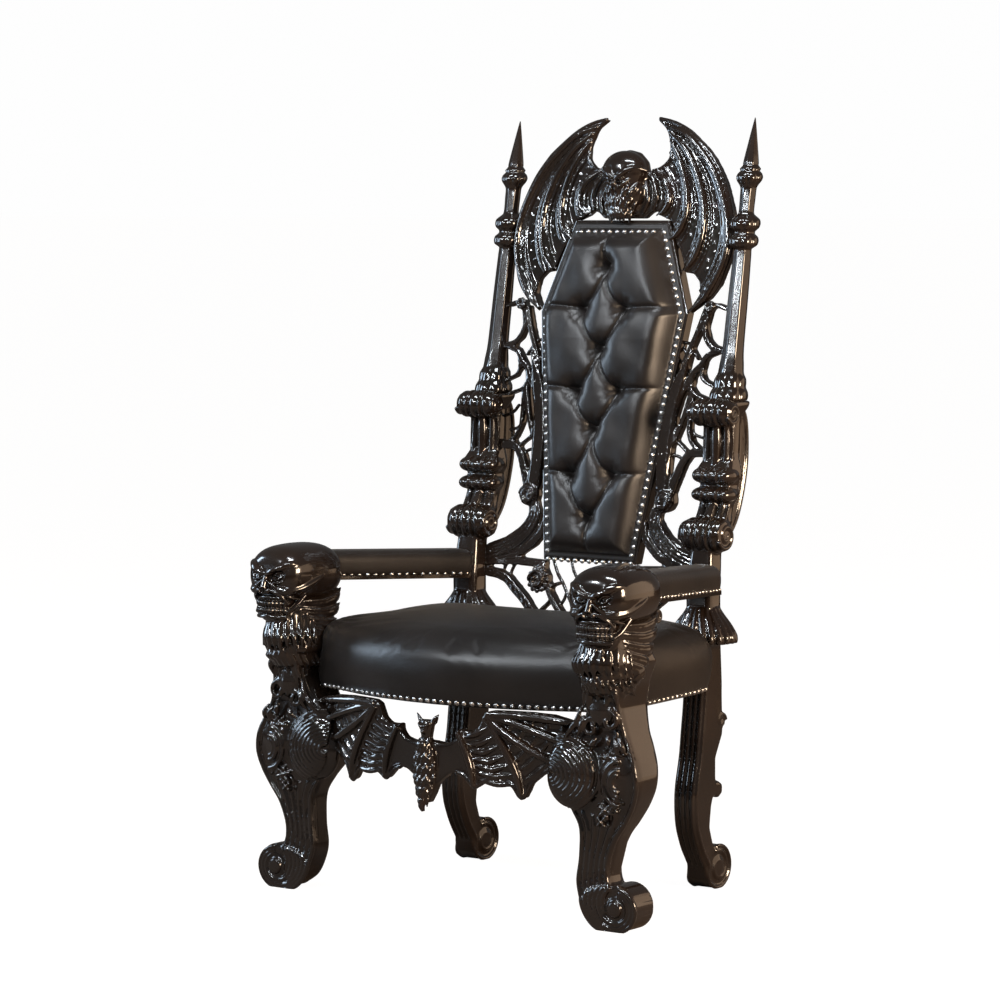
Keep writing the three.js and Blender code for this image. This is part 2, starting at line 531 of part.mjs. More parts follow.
// Arm rail and arm pad, tapering inwards and falling to the rear.
function armSection(y, g, z0, z1, inset) {
  const t = (y - 120) / 420;
  const [a, b] = [X(lerp(410, 308, t)) + inset - g, X(lerp(505, 402, t)) - inset + g];
  const drop = lerp(0, -ARM_FALL, t);
  return { a, b, low: ARM_HEIGHT + z0 + drop - g, high: ARM_HEIGHT + z1 + drop + g };
}
function armRail(g = 0) {
  const ring = (y, yy) => {
    const s = armSection(y, g, -ARM_RAIL_THICK, 1 - GAP, 4);
    return [V(s.a, yy, s.low), V(s.b, yy, s.low), V(s.b, yy, s.high), V(s.a, yy, s.high)];
  };
  return loft([ring(96, Y(96) - g), ring(546, Y(546) + g)]);
}
function armPad(g = 0) {
  const ring = (y, yy, shrink) => {
    const s = armSection(y, g, 1, ARM_PAD_HEIGHT, shrink);
    const high = s.high - shrink * 1.4;
    const h = high - s.low;
    const w = s.b - s.a;
    const pts = [[0.02, 0], [0.98, 0], [1.01, 0.3], [1.01, 0.62], [0.95, 0.84], [0.82, 0.96], [0.5, 1],
      [0.18, 0.96], [0.05, 0.84], [-0.01, 0.62], [-0.01, 0.3]];
    return pts.map(([u, v]) => V(s.a + w * u, yy, s.low + h * v));
  };
  return loft([ring(96, Y(96) - g, 0), ring(300, Y(300), 0), ring(480, Y(480), 0), ring(524, Y(524), 0),
    ring(540, Y(540), 3), ring(550, Y(550) + g, 12)]);
}

function material(name, colour, roughness, metalness) {
  const m = new THREE.MeshStandardMaterial({ color: colour, roughness, metalness });
  m.name = name;
  return m;
}

function build() {
  const wood = material('lacquered_wood', 0x120d0b, 0.25, 0.0);
  const leather = material('black_leather', 0x0b0c0f, 0.42, 0.0);
  const made = {};
  const rail = rails();
  const arm = armRail();
  const pad = armPad();
  const room = [armRail(GAP), armPad(GAP)];
  const post = backPost();
  const front = largest(cut(frontPost(), room));
  const tail = [backPost(GAP)];
  made.seat_cushion = [cushion(), leather];
  made.front_rail = [rail.front, wood];
  made.back_rail = [rail.back, wood];
  made.left_side_rail = [flip(rail.right), wood];
  made.right_side_rail = [rail.right, wood];
  made.left_front_leg = [flip(front), wood];
  made.right_front_leg = [front, wood];
  made.left_back_post = [flip(post), wood];
  made.right_back_post = [post, wood];
  made.left_arm_rail = [flip(largest(cut(arm, tail))), wood];
  made.right_arm_rail = [largest(cut(arm, tail)), wood];
  made.left_arm_pad = [flip(largest(cut(pad, tail))), leather];
  made.right_arm_pad = [largest(cut(pad, tail)), leather];
  made.left_spear = [flip(spear()), wood];
  made.right_spear = [spear(), wood];
  made.web_tracery = [web(), wood];
  made.coffin_board = [coffinBoard(), wood];
  made.coffin_pad = [coffinPad(), leather];
  made.bat_crest = [largest(batCrest()), wood];
  made.bat_apron = [apron(), wood];
  const lows = Object.values(made).map(([m]) => m.boundingBox());
  const y0 = Math.min(...lows.map((b) => b.min[1]));
  const y1 = Math.max(...lows.map((b) => b.max[1]));
  const group = new THREE.Group();
  Object.entries(made).forEach(([name, [m, mat]]) => {
    const mesh = m.translate([0, -(y0 + y1) / 2, 0]).simplify(GAP * 0.4).getMesh();
    const g = new THREE.BufferGeometry();
    g.setAttribute('position', new THREE.BufferAttribute(new Float32Array(mesh.vertProperties), 3));
    g.setIndex(new THREE.BufferAttribute(new Uint32Array(mesh.triVerts), 1));
    g.computeVertexNormals();
    const node = new THREE.Mesh(g, mat);
    node.name = name;
    group.add(node);
  });
  return group;
}

export default build();
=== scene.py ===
"""Dresses the carved throne: lacquered carving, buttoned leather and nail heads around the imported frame."""
import math
import bmesh
import bpy
import numpy as np
from mathutils import Euler, Matrix, Vector
from mathutils.bvhtree import BVHTree


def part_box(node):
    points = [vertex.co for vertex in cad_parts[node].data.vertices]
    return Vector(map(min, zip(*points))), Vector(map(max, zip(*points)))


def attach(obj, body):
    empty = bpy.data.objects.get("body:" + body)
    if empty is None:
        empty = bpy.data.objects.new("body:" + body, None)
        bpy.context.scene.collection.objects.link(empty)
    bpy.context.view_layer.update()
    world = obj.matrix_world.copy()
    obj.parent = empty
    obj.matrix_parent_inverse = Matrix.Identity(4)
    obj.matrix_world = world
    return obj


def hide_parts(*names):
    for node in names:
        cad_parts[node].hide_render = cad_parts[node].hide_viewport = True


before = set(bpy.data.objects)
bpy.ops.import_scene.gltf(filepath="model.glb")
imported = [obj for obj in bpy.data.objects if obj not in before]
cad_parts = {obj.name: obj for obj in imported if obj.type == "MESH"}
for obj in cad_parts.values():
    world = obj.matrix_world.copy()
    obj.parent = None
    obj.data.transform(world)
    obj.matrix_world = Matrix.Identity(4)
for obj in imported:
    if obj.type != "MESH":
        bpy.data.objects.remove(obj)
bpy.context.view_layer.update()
bl_info = {
    "name": "Carved throne",
    "version": (1, 0, 0),
    "blender": (4, 5, 0),
    "location": "3D View > Sidebar > Throne",
    "description": "Carves and upholsters a high-backed throne around its frame",
    "category": "Add Mesh",
}
# The plan's own origin is the front of the feet; the frame's is the middle of the box.
SHIFT = 0.512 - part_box("seat_cushion")[1].y
LEAN = math.tan(math.radians(9.7))
POST_X = 0.457
BACK_POST_X = 0.343
SPEAR_X = 0.345
FOOT = (0.488, 0.052)
# Stations down the front post's carved face: inner x and z, front y, outer x and z.
SHANK = [
    (0.402, 0.640, -0.052, 0.508, 0.640), (0.396, 0.552, -0.040, 0.494, 0.552),
    (0.402, 0.510, -0.030, 0.491, 0.510), (0.380, 0.458, -0.022, 0.504, 0.448),
    (0.334, 0.428, -0.026, 0.522, 0.410), (0.308, 0.372, -0.032, 0.541, 0.368),
    (0.307, 0.340, -0.032, 0.545, 0.325), (0.330, 0.306, -0.028, 0.532, 0.284),
    (0.362, 0.268, -0.024, 0.508, 0.244), (0.386, 0.226, -0.022, 0.482, 0.208),
    (0.387, 0.160, -0.020, 0.462, 0.160), (0.381, 0.106, -0.022, 0.460, 0.122),
    (0.391, 0.066, -0.026, 0.470, 0.096),
]
COFFIN = [(0.135, 0.758), (0.215, 1.360), (0.137, 1.583)]
BUTTONS = [(0.0, 1.472), (0.0, 1.276), (0.0, 1.083), (0.0, 0.867)]
BUTTONS += [(s * 0.060, z) for z in (1.370, 1.175, 0.970) for s in (-1, 1)]


class ThroneSizes(bpy.types.PropertyGroup):
    """Sizes and colours of the dressing."""

    grain: bpy.props.FloatProperty(name="Carving grain", description="Finest step of the carved surfaces",
                                   default=0.0021, unit="LENGTH")
    nail_radius: bpy.props.FloatProperty(name="Nail radius", description="Radius of a domed nail head",
                                         default=0.0062, unit="LENGTH")
    nail_step: bpy.props.FloatProperty(name="Nail spacing", description="Distance between nail heads",
                                       default=0.0205, unit="LENGTH")
    button_radius: bpy.props.FloatProperty(name="Button radius", description="Radius of a covered button",
                                           default=0.0105, unit="LENGTH")
    tuft_depth: bpy.props.FloatProperty(name="Tuft depth", description="How deep the buttons pull the pad in",
                                        default=0.030, unit="LENGTH")
    lacquer: bpy.props.FloatVectorProperty(name="Lacquer", description="Colour of the lacquered wood",
                                           default=(0.0085, 0.0052, 0.0036), subtype="COLOR")
    leather: bpy.props.FloatVectorProperty(name="Leather", description="Colour of the leather",
                                           default=(0.0100, 0.0078, 0.0068), subtype="COLOR")
    nickel: bpy.props.FloatVectorProperty(name="Nickel", description="Colour of the nail heads",
                                          default=(0.78, 0.76, 0.74), subtype="COLOR")


def sizes():
    return bpy.context.scene.throne


def seat(x, y, z):
    """A point given in the plan of the seat."""
    return (x, y - SHIFT, z)


def back(x, z, d=0.0):
    """A point on the leaning plane of the back, d behind it."""
    return (x, 0.577 + (z - 0.763) * LEAN + d - SHIFT, z)


def curve_through(rows, count):
    """Catmull-Rom rows through the given ones, count(a, b) of them from row a to row b."""
    p = np.array(rows, float)
    ends = np.vstack([2 * p[0] - p[1], p, 2 * p[-1] - p[-2]])
    out = []
    for i in range(1, len(ends) - 2):
        a, b, c, d = ends[i - 1:i + 3]
        n = count(b, c)
        t = np.arange(n)[:, None] / n
        out.append(0.5 * (2 * b + (c - a) * t + (2 * a - 5 * b + 4 * c - d) * t ** 2
                          + (3 * b - a - 3 * c + d) * t ** 3))
    out.append(p[-1:])
    return np.vstack(out)


def smooth_line(points, step=0.005):
    """A curve through points that may carry a radius in a fourth column."""
    return curve_through(points, lambda a, b: max(2, int(np.linalg.norm((b - a)[:3]) / step)))


def smooth_rows(rows, n):
    """Curved rows of any width, n to a step."""
    return curve_through(rows, lambda a, b: n)


def new_object(name, mesh):
    o = bpy.data.objects.new(name, mesh)
    bpy.context.scene.collection.objects.link(o)
    return o


def settle(o):
    """Applies an object's modifiers to its mesh."""
    mesh = bpy.data.meshes.new_from_object(o.evaluated_get(bpy.context.evaluated_depsgraph_get()))
    o.modifiers.clear()
    old = o.data
    o.data = mesh
    if old.users == 0:
        bpy.data.meshes.remove(old)
    return o


def welded(mesh, distance):
    """Merges a mesh's points that lie together."""
    bm = bmesh.new()
    bm.from_mesh(mesh)
    bmesh.ops.remove_doubles(bm, verts=bm.verts, dist=distance)
    bm.to_mesh(mesh)
    bm.free()
    return mesh


def shade_smooth(mesh):
    mesh.polygons.foreach_set("use_smooth", [True] * len(mesh.polygons))


def object_of(name, bm):
    """A smooth object from a bmesh, which is freed."""
    mesh = bpy.data.meshes.new(name)
    bm.to_mesh(mesh)
    bm.free()
    shade_smooth(mesh)
    return new_object(name, mesh)


def tubes(strokes):
    """A mesh of capped round tubes along lines of x, y, z, radius."""
    curve = bpy.data.curves.new("strokes", "CURVE")
    curve.dimensions = "3D"
    curve.bevel_depth = 1.0
    curve.bevel_resolution = 2
    curve.use_fill_caps = True
    for line in strokes:
        spline = curve.splines.new("POLY")
        spline.points.add(len(line) - 1)
        co = np.hstack([line[:, :3], np.ones((len(line), 1))])
        spline.points.foreach_set("co", co.ravel())
        spline.points.foreach_set("radius", np.maximum(line[:, 3], 0.0004))
    o = new_object("strokes", curve)
    mesh = bpy.data.meshes.new_from_object(o.evaluated_get(bpy.context.evaluated_depsgraph_get()))
    bpy.data.objects.remove(o)
    return welded(mesh, 1e-6)


def node_copy(name):
    """A merged copy of a frame node's mesh."""
    return welded(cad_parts[name].data.copy(), 1e-5)


def remesh(o, voxel, rounds):
    """Fuses an object's shells into one skin and smooths it."""
    m = o.modifiers.new("voxels", "REMESH")
    m.mode = "VOXEL"
    m.voxel_size = voxel
    o.modifiers.new("smooth", "SMOOTH").iterations = rounds
    return settle(o)


def unit_form(make, **sizes):
    """The points and faces of one small form made with a mesh operator."""
    bm = bmesh.new()
    make(bm, **sizes)
    points = np.array([v.co[:] for v in bm.verts])
    faces = [[v.index for v in f.verts] for f in bm.faces]
    bm.free()
    return points, faces


class Clay:
    """Gathers closed forms and strokes, then fuses them into one carved skin."""

    def __init__(self):
        self.forms = {}
        self.points = []
        self.faces = []
        self.count = 0
        self.lines = []

    def add(self, points, faces):
        self.points.append(points)
        self.faces.extend([[i + self.count for i in f] for f in faces])
        self.count += len(points)

    def add_mesh(self, mesh):
        co = np.empty(len(mesh.vertices) * 3)
        mesh.vertices.foreach_get("co", co)
        self.add(co.reshape(-1, 3), [list(f.vertices) for f in mesh.polygons])

    def put(self, key, make, matrix, **sizes):
        if key not in self.forms:
            self.forms[key] = unit_form(make, **sizes)
        points, faces = self.forms[key]
        m = np.array(matrix)
        self.add(points @ m[:3, :3].T + m[:3, 3], faces)

    def ball(self, centre, radii, turn=(0, 0, 0), fine=28):
        m = Matrix.LocRotScale(Vector(centre), Euler(turn), Vector(radii))
        self.put(("ball", fine), bmesh.ops.create_uvsphere, m, u_segments=fine, v_segments=fine * 2 // 3,
                 radius=1.0)

    def rod(self, a, b, r0, r1=None, fine=40):
        d = Vector(b) - Vector(a)
        r1 = r0 if r1 is None else r1
        m = Matrix.LocRotScale((Vector(a) + Vector(b)) / 2, d.to_track_quat("Z", "Y"), None)
        self.put(("rod", r0, r1, d.length, fine), bmesh.ops.create_cone, m, cap_ends=True, cap_tris=False,
                 segments=fine, radius1=r0, radius2=r1, depth=d.length)

    def node(self, name, voxel=0.0035, rounds=10, top=None):
        """Starts from a frame node, its facets melted; with a top, only the part below that height."""
        mesh = node_copy(name)
        if top is not None:
            bm = bmesh.new()
            bm.from_mesh(mesh)
            cut = bmesh.ops.bisect_plane(bm, geom=bm.verts[:] + bm.edges[:] + bm.faces[:],
                                         plane_co=(0, 0, top), plane_no=(0, 0, 1), clear_outer=True)
            rim = [e for e in cut["geom_cut"] if isinstance(e, bmesh.types.BMEdge)]
            bmesh.ops.holes_fill(bm, edges=rim)
            bm.to_mesh(mesh)
            bm.free()
        o = remesh(new_object("base", mesh), voxel, rounds)
        self.add_mesh(o.data)
        bpy.data.objects.remove(o)

    def skin(self, rings):
        """A closed body over rings of equal count, capped at both ends."""
        n = len(rings[0])
        faces = [[k * n + i, k * n + (i + 1) % n, (k + 1) * n + (i + 1) % n, (k + 1) * n + i]
                 for k in range(len(rings) - 1) for i in range(n)]
        faces.append(list(range(n))[::-1])
        faces.append([(len(rings) - 1) * n + i for i in range(n)])
        self.add(np.array(rings, float).reshape(-1, 3), faces)

    def stroke(self, points, radius=None):
        """A stroke through points; radius is one number, a list, or left in the points."""
        p = np.array(points, float)
        if radius is not None:
            r = np.full(len(p), radius) if np.isscalar(radius) else np.array(radius, float)
            p = np.column_stack([p, r])
        self.lines.append(smooth_line(p))

    def fire(self, name, voxel, rounds=2, most=None):
        """Fuses everything into one mesh, thinned to at most so many triangles and flat on the floor."""
        if self.lines:
            mesh = tubes(self.lines)
            self.add_mesh(mesh)
            bpy.data.meshes.remove(mesh)
        mesh = bpy.data.meshes.new(name)
        mesh.from_pydata(np.vstack(self.points), [], self.faces)
        o = remesh(new_object(name, mesh), voxel * (1.0), rounds)
        if most is not None and most < 2 * len(o.data.polygons):
            m = o.modifiers.new("thin", "DECIMATE")
            m.ratio = most / (2 * len(o.data.polygons))
            settle(o)
        co = points_of(o)
        co[:, 2] = np.maximum(co[:, 2], 0.0)
        set_points(o, co)
        shade_smooth(o.data)
        return o


def points_of(o):
    co = np.empty(len(o.data.vertices) * 3)
    o.data.vertices.foreach_get("co", co)
    return co.reshape(-1, 3)


def set_points(o, co):
    o.data.vertices.foreach_set("co", co.ravel())
    o.data.update()


def press(co, centre, radii, turn=(0, 0, 0), out=(0, -1, 0)):
    """Hollows the points inside an ellipsoid back to its far wall."""
    rot = np.array(Euler(turn).to_matrix())
    q = (co - np.array(centre)) @ rot / np.array(radii)
    inside = (q ** 2).sum(1) < 1
    d = -np.array(out, float) @ rot / np.array(radii)
    a = (d ** 2).sum()
    b = (q[inside] * d).sum(1)
    c = (q[inside] ** 2).sum(1) - 1
    t = (-b + np.sqrt(b * b - a * c)) / a
    co[inside] -= np.outer(t, np.array(out, float))


def mirrored(o, name):
    mesh = o.data.copy()
    mesh.transform(Matrix.Diagonal((-1, 1, 1, 1)))
    mesh.flip_normals()
    return new_object(name, mesh)


def finish_piece(o, material, slot, *nodes):
    o.data.materials.clear()
    o.data.materials.append(material)
    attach(o, "root")
    if nodes:
        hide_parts(*nodes)
    return o


def skull_at(dx, dy, z):
    """A point in the skull's own frame, which is turned a little outward."""
    c, s = math.cos(math.radians(3)), math.sin(math.radians(3))
    return (POST_X + dx * c - dy * s, 0.011 + dx * s + dy * c - SHIFT, z)


def rounded(power, n=56):
    """A superellipse of unit size as two columns."""
    t = np.linspace(0, 2 * math.pi, n, endpoint=False)
    c, s = np.cos(t), np.sin(t)
    return np.sign(c) * np.abs(c) ** (2 / power), np.sign(s) * np.abs(s) ** (2 / power)


HEAD = [  # depth, half width, lowest and highest point of the cranium
    (-0.101, 0.034, 0.724, 0.766), (-0.098, 0.050, 0.711, 0.784), (-0.091, 0.063, 0.700, 0.798),
    (-0.078, 0.073, 0.692, 0.810), (-0.055, 0.0795, 0.686, 0.8185), (-0.010, 0.0825, 0.683, 0.822),
    (0.040, 0.0815, 0.684, 0.821), (0.070, 0.076, 0.690, 0.815), (0.091, 0.064, 0.701, 0.803),
    (0.104, 0.046, 0.718, 0.786), (0.108, 0.028, 0.734, 0.770),
]
FACE = [  # height, half width, front and rear of the face and jaw
    (0.649, 0.034, -0.084, 0.016), (0.653, 0.042, -0.093, 0.018), (0.663, 0.046, -0.1005, 0.021),
    (0.680, 0.047, -0.102, 0.024), (0.696, 0.050, -0.100, 0.026), (0.712, 0.059, -0.094, 0.022),
    (0.735, 0.067, -0.094, 0.016), (0.765, 0.062, -0.092, 0.010),
]
FEATURES = [  # strokes of one half of the face: points across, in depth and up, then their radii
    ([(0.002, -0.106, 0.757), (0.020, -0.1095, 0.761), (0.042, -0.1000, 0.773), (0.060, -0.0800, 0.779),
      (0.072, -0.056, 0.771)], [0.0065, 0.0090, 0.0098, 0.0080, 0.003]),
    ([(0.026, -0.100, 0.724), (0.048, -0.092, 0.717), (0.067, -0.062, 0.722), (0.078, -0.028, 0.735),
      (0.082, 0.004, 0.749)], [0.0055, 0.0110, 0.0110, 0.0085, 0.003]),
    ([(0.008, -0.110, 0.741), (0.022, -0.1095, 0.730), (0.040, -0.099, 0.716), (0.054, -0.081, 0.701),
      (0.061, -0.060, 0.696)], [0.0030, 0.0044, 0.0047, 0.0042, 0.002]),
    ([(0.013, -0.112, 0.722), (0.027, -0.1085, 0.714), (0.042, -0.097, 0.702), (0.050, -0.081, 0.684)],
     [0.0028, 0.0040, 0.0040, 0.002]),
    ([(0.045, -0.086, 0.663), (0.055, -0.066, 0.677), (0.065, -0.040, 0.706)], [0.0055, 0.0070, 0.006]),
    ([(0.016, -0.1045, 0.7395), (0.032, -0.1040, 0.7365), (0.048, -0.0950, 0.7405), (0.062, -0.078, 0.752)],
     [0.0025, 0.0036, 0.0036, 0.002]),
]


def bite_at(x, z, proud=0.0):
    """A point on the curve of the teeth."""
    return skull_at(x, -0.1035 - proud + 0.021 * (x / 0.045) ** 2, z)


def carve_skull(clay):
    c, s = rounded(2.3)
    clay.skin([[skull_at(h * a, y, (z0 + z1) / 2 + (z1 - z0) / 2 * b) for a, b in zip(c, s)]
               for y, h, z0, z1 in smooth_rows(HEAD, 5)])
    c, s = rounded(2.8)
    clay.skin([[skull_at(h * a, (f + r) / 2 + (r - f) / 2 * b, z) for a, b in zip(c, s)]
               for z, h, f, r in smooth_rows(FACE, 5)])
    for m in (-1, 1):
        for line, r in FEATURES:
            clay.stroke([skull_at(m * x, y, z) for x, y, z in line], r)
        clay.ball(skull_at(m * 0.0105, -0.1120, 0.716), (0.0070, 0.0090, 0.0065))
    clay.stroke([skull_at(0, -0.104, 0.757), skull_at(0, -0.110, 0.742), skull_at(0, -0.1175, 0.722)],
                [0.0050, 0.0065, 0.0085])
    bite = np.linspace(-0.0445, 0.0445, 9)
    for z, r in ((0.7005, 0.0044), (0.6555, 0.0052)):
        clay.stroke([bite_at(x, z - abs(x) * 0.05) for x in bite], r)
    for z, height in ((0.6855, 0.0088), (0.6690, 0.0078)):
        for i in range(11):
            clay.ball(bite_at(-0.0430 + i * 0.0086, z, 0.0008), (0.0037, 0.0078, height), fine=16)


def carve_eyes(co):
    """Sockets, the nose hollow and the groove between the teeth."""
    for m in (-1, 1):
        press(co, skull_at(m * 0.031, -0.1075, 0.7515), (0.0235, 0.0200, 0.0118), (0, m * -0.32, 0))
        press(co, skull_at(m * 0.0062, -0.1215, 0.7155), (0.0045, 0.0100, 0.0070), (0, m * 0.35, 0))
    press(co, skull_at(0, -0.1215, 0.6775), (0.050, 0.0170, 0.0015))
    return co


def finish_both(right, material, slot, *nodes):
    """Finishes a right-hand piece and its mirrored twin."""
    left = mirrored(right, right.name.replace("right", "left"))
    finish_piece(right, material, slot, *nodes)
    finish_piece(left, material, slot, *(name.replace("right", "left") for name in nodes))
    return right, left


def carve_mane(clay):
    """Beard locks under the jaw, a shorter ruff below them, and locks swept back along both sides."""
    for z0, z1, h0, h1, y0, y1, n, r in ((0.668, 0.574, 0.042, 0.064, -0.070, -0.084, 6, 0.0070),
                                         (0.584, 0.536, 0.054, 0.054, -0.066, -0.056, 7, 0.0060)):
        mid = (z0 + z1) / 2
        wide = h0 * 0.4 + h1 * 0.6
        for i in range(-n, n + 1):
            a = math.sin(i / n * 1.5)
            away = (1 - math.cos(i / n * 1.5)) * 0.080
            down = z1 - 0.009 * (i % 2)
            clay.stroke([seat(0.446 + h0 * a, y0 + away, z0),
                         seat(0.448 + wide * a, y0 + away - 0.010, mid + 0.008),
                         seat(0.444 + h1 * a * 1.02, y1 + away - 0.005, mid - 0.020),
                         seat(0.449 + h1 * a * 0.97, y1 + away + 0.010, down)],
                        [r * 0.6, r, r * 0.95, r * 0.35])
            clay.stroke([seat(0.446 + (h0 + 0.002) * (a + 0.07), y0 + away - 0.004, z0 - 0.010),
                         seat(0.448 + (wide + 0.004) * (a + 0.09), y0 + away - 0.014, mid),
                         seat(0.447 + (h1 + 0.004) * (a + 0.08), y1 + away - 0.002, down + 0.014)],
                        [0.0016, r * 0.46, 0.0014])
    for side, x0, x1 in ((1, 0.484, 0.500), (-1, 0.424, 0.408)):
        for k in range(5):
            start, end = 0.684 - 0.014 * k, 0.702 - 0.036 * k
            low = (start + end) / 2 - 0.012
            rear = 0.118 - 0.0040 * k * k
            for proud, lift, r in ((0.0, 0.0, 0.0165), (0.0125, 0.0075, 0.0042)):
                x = x1 + side * proud
                clay.stroke([seat(x0 + side * proud * 0.6, -0.048 + 0.004 * k, start + lift * 0.5),
                             seat(x, -0.008, low + (start - low) * 0.35 + lift),
                             seat(x + side * 0.005, 0.036, low + lift),
                             seat(x + side * 0.003, rear - 0.034, low + (end - low) * 0.45 + lift),
                             seat(x - side * 0.012, rear, end + lift)],
                            [r * 0.35, r * 0.8, r, r, r * 0.55])
    for k in range(5):
        clay.ball(seat(0.455, 0.086 - 0.005 * k, 0.680 - k * 0.028), (0.044, 0.032, 0.020), (0.5, 0, 0))
    clay.ball(seat(0.482, 0.112, 0.698), (0.024, 0.024, 0.022))
    clay.stroke([seat(0.504, 0.112 + 0.013 * math.cos(a), 0.698 + 0.013 * math.sin(a))
                 for a in np.linspace(0, 6.28, 14)], 0.004)


def shank_at(k, t, proud=0.0):
    """A point on the shank's face: k runs down the stations, t from the inner edge to the outer."""
    xi, zi, front, xo, zo = SHANK[k]
    return seat(xi + (xo - xi) * t, front - proud, zi + (zo - zi) * t)


REAR = [0.096, 0.112, 0.104, 0.094, 0.088, 0.076, 0.066, 0.058, 0.052, 0.048, 0.045, 0.045, 0.045]
# The foot's flutes: radius against turn for the outermost and the innermost, then thickness along one.
FOOT_OUTER = ([172, 200, 225, 250, 270, 360, 440], [0.098, 0.082, 0.070, 0.060, 0.053, 0.052, 0.046])
FOOT_INNER = ([112, 180, 440], [0.047, 0.030, 0.024])
FLUTE = ([0, 2, 8, 14, 26, 31], [0.0035, 0.0066, 0.0066, 0.0052, 0.0048, 0.0035])


def carve_shank(clay):
    """The leg's squared body, the flutes that run down it and round the foot, and the foot's boss."""
    x0, z0 = FOOT
    c, s = rounded(7.0, 64)
    rings = []
    stations = [(*row, rear) for row, rear in zip(SHANK, REAR)]
    stations += [(0.412, 0.030, -0.028, 0.480, 0.076, 0.045), (0.450, 0.004, -0.028, 0.488, 0.060, 0.045)]
    for xi, zi, front, xo, zo, rear in smooth_rows(stations, 6):
        rings.append([seat((xi + xo) / 2 + (xo - xi) / 2 * a, (front + rear) / 2 + (rear - front) / 2 * b,
                           (zi + zo) / 2 + (zo - zi) / 2 * a) for a, b in zip(c, s)])
    clay.skin(rings)
    clay.rod(seat(x0, -0.0245, z0), seat(x0, 0.045, z0), 0.053, fine=72)
    for i in range(6):
        t = 0.03 + i * 0.188
        path = [shank_at(k, t) for k in range(8, 13)]
        start = math.radians(172 - 60 * t)
        # Every second flute runs on round the foot.
        last = 25 if i % 2 == 0 else 7
        for j in range(last + 1):
            turn = start + j / 25 * (math.radians(440) - start)
            r = (np.interp(math.degrees(turn), *FOOT_OUTER) * (1 - t)
                 + np.interp(math.degrees(turn), *FOOT_INNER) * t)
            path.append(seat(x0 + r * math.cos(turn), -0.028, z0 + r * math.sin(turn)))
        clay.stroke([(x, y - 0.0012, z) for x, y, z in path], np.interp(np.arange(len(path)), *FLUTE))
    clay.rod(seat(x0, -0.040, z0), seat(x0, -0.020, z0), 0.017, 0.021)
    for r, thick in ((0.0235, 0.0042), (0.036, 0.0038)):
        clay.stroke([seat(x0 + r * math.cos(a), 0.046, z0 + r * math.sin(a))
                     for a in np.linspace(0, 2 * math.pi, 22)], thick)
    clay.stroke([shank_at(k, 0.985, -0.002) for k in range(1, 12)], 0.0062)
    clay.stroke([shank_at(k, 0.76 + 0.03 * abs(k - 6), 0.001) for k in range(3, 10)],
                [0.004, 0.0055, 0.006, 0.006, 0.006, 0.0055, 0.004])


KNEE_SCROLLS = [  # centre x and z, radius, first turn and way
    (0.474, 0.474, 0.029, 3.6, -1), (0.452, 0.526, 0.026, 2.6, 1), (0.424, 0.456, 0.022, 0.6, 1),
]
KNEE_LEAVES = [  # x and z of the root, x and z of the tip
    (0.410, 0.560, 0.404, 0.500), (0.422, 0.556, 0.414, 0.496), (0.486, 0.560, 0.492, 0.512),
    (0.400, 0.500, 0.372, 0.440), (0.408, 0.484, 0.386, 0.430), (0.392, 0.478, 0.350, 0.424),
    (0.440, 0.436, 0.420, 0.410), (0.500, 0.440, 0.516, 0.400), (0.488, 0.436, 0.500, 0.396),
    (0.470, 0.444, 0.474, 0.414),
]
KNEE_FLOWERS = [  # centre x and z, petals and size
    (0.470, 0.392, 6, 0.015), (0.463, 0.273, 6, 0.015), (0.494, 0.404, 5, 0.011), (0.452, 0.246, 4, 0.010),
    (0.488, 0.282, 4, 0.010),
]


def carve_knee(clay):
    """The fluted shell on the inner side of the knee, the scrolls above it and the framed ornament."""
    clay.ball(seat(0.366, -0.026, 0.338), (0.066, 0.026, 0.070))
    for i in range(10):
        r = 0.016 + i * 0.0118
        arc = []
        for a in np.radians(np.linspace(104 - i * 2, -98 + i * 4, 15)):
            x, z = 0.322 + r * math.cos(a), 0.347 + 0.74 * r * math.sin(a)
            bulge = max(0.0, 1 - ((x - 0.366) / 0.074) ** 2 - ((z - 0.338) / 0.078) ** 2)
            arc.append(seat(x, -0.032 - 0.022 * math.sqrt(bulge), z))
        clay.stroke(arc, [0.003] + [0.0052] * 13 + [0.003])
    for cx, cz, radius, start, way in KNEE_SCROLLS:
        scroll = []
        for f in np.linspace(0, 1, 22):
            turn = start + way * f * 7.2
            r = radius * (1 - 0.74 * f)
            scroll.append(seat(cx + r * math.cos(turn), -0.034 - 0.003 * f, cz + r * math.sin(turn)))
        clay.stroke(scroll, [0.003] + [0.0062] * 20 + [0.006])
    for x0, z0, x1, z1 in KNEE_LEAVES:
        clay.stroke([seat(x0, -0.038, z0), seat((x0 + x1) / 2 + 0.004, -0.042, (z0 + z1) / 2),
                     seat(x1, -0.034, z1)], [0.0030, 0.0070, 0.0025])
    clay.stroke([seat(0.504 - 0.044 * math.sin(a), -0.040, 0.336 + 0.050 * math.cos(a))
                 for a in np.linspace(0, math.pi, 16)], 0.0055)
    for r in (0.030, 0.019):
        clay.stroke([seat(0.502 - r * 0.85 * math.sin(a), -0.043, 0.336 + r * math.cos(a))
                     for a in np.linspace(0, math.pi, 12)], 0.0046)
    for cx, cz, petals, size in KNEE_FLOWERS:
        clay.ball(seat(cx, -0.036, cz), (size * 0.42, 0.010, size * 0.42), fine=16)
        for j in range(petals):
            a = j * 2 * math.pi / petals + cx * 40
            clay.ball(seat(cx + size * math.cos(a), -0.033, cz + size * math.sin(a)),
                      (size * 0.62, 0.0085, size * 0.36), (0, -a, 0), fine=16)


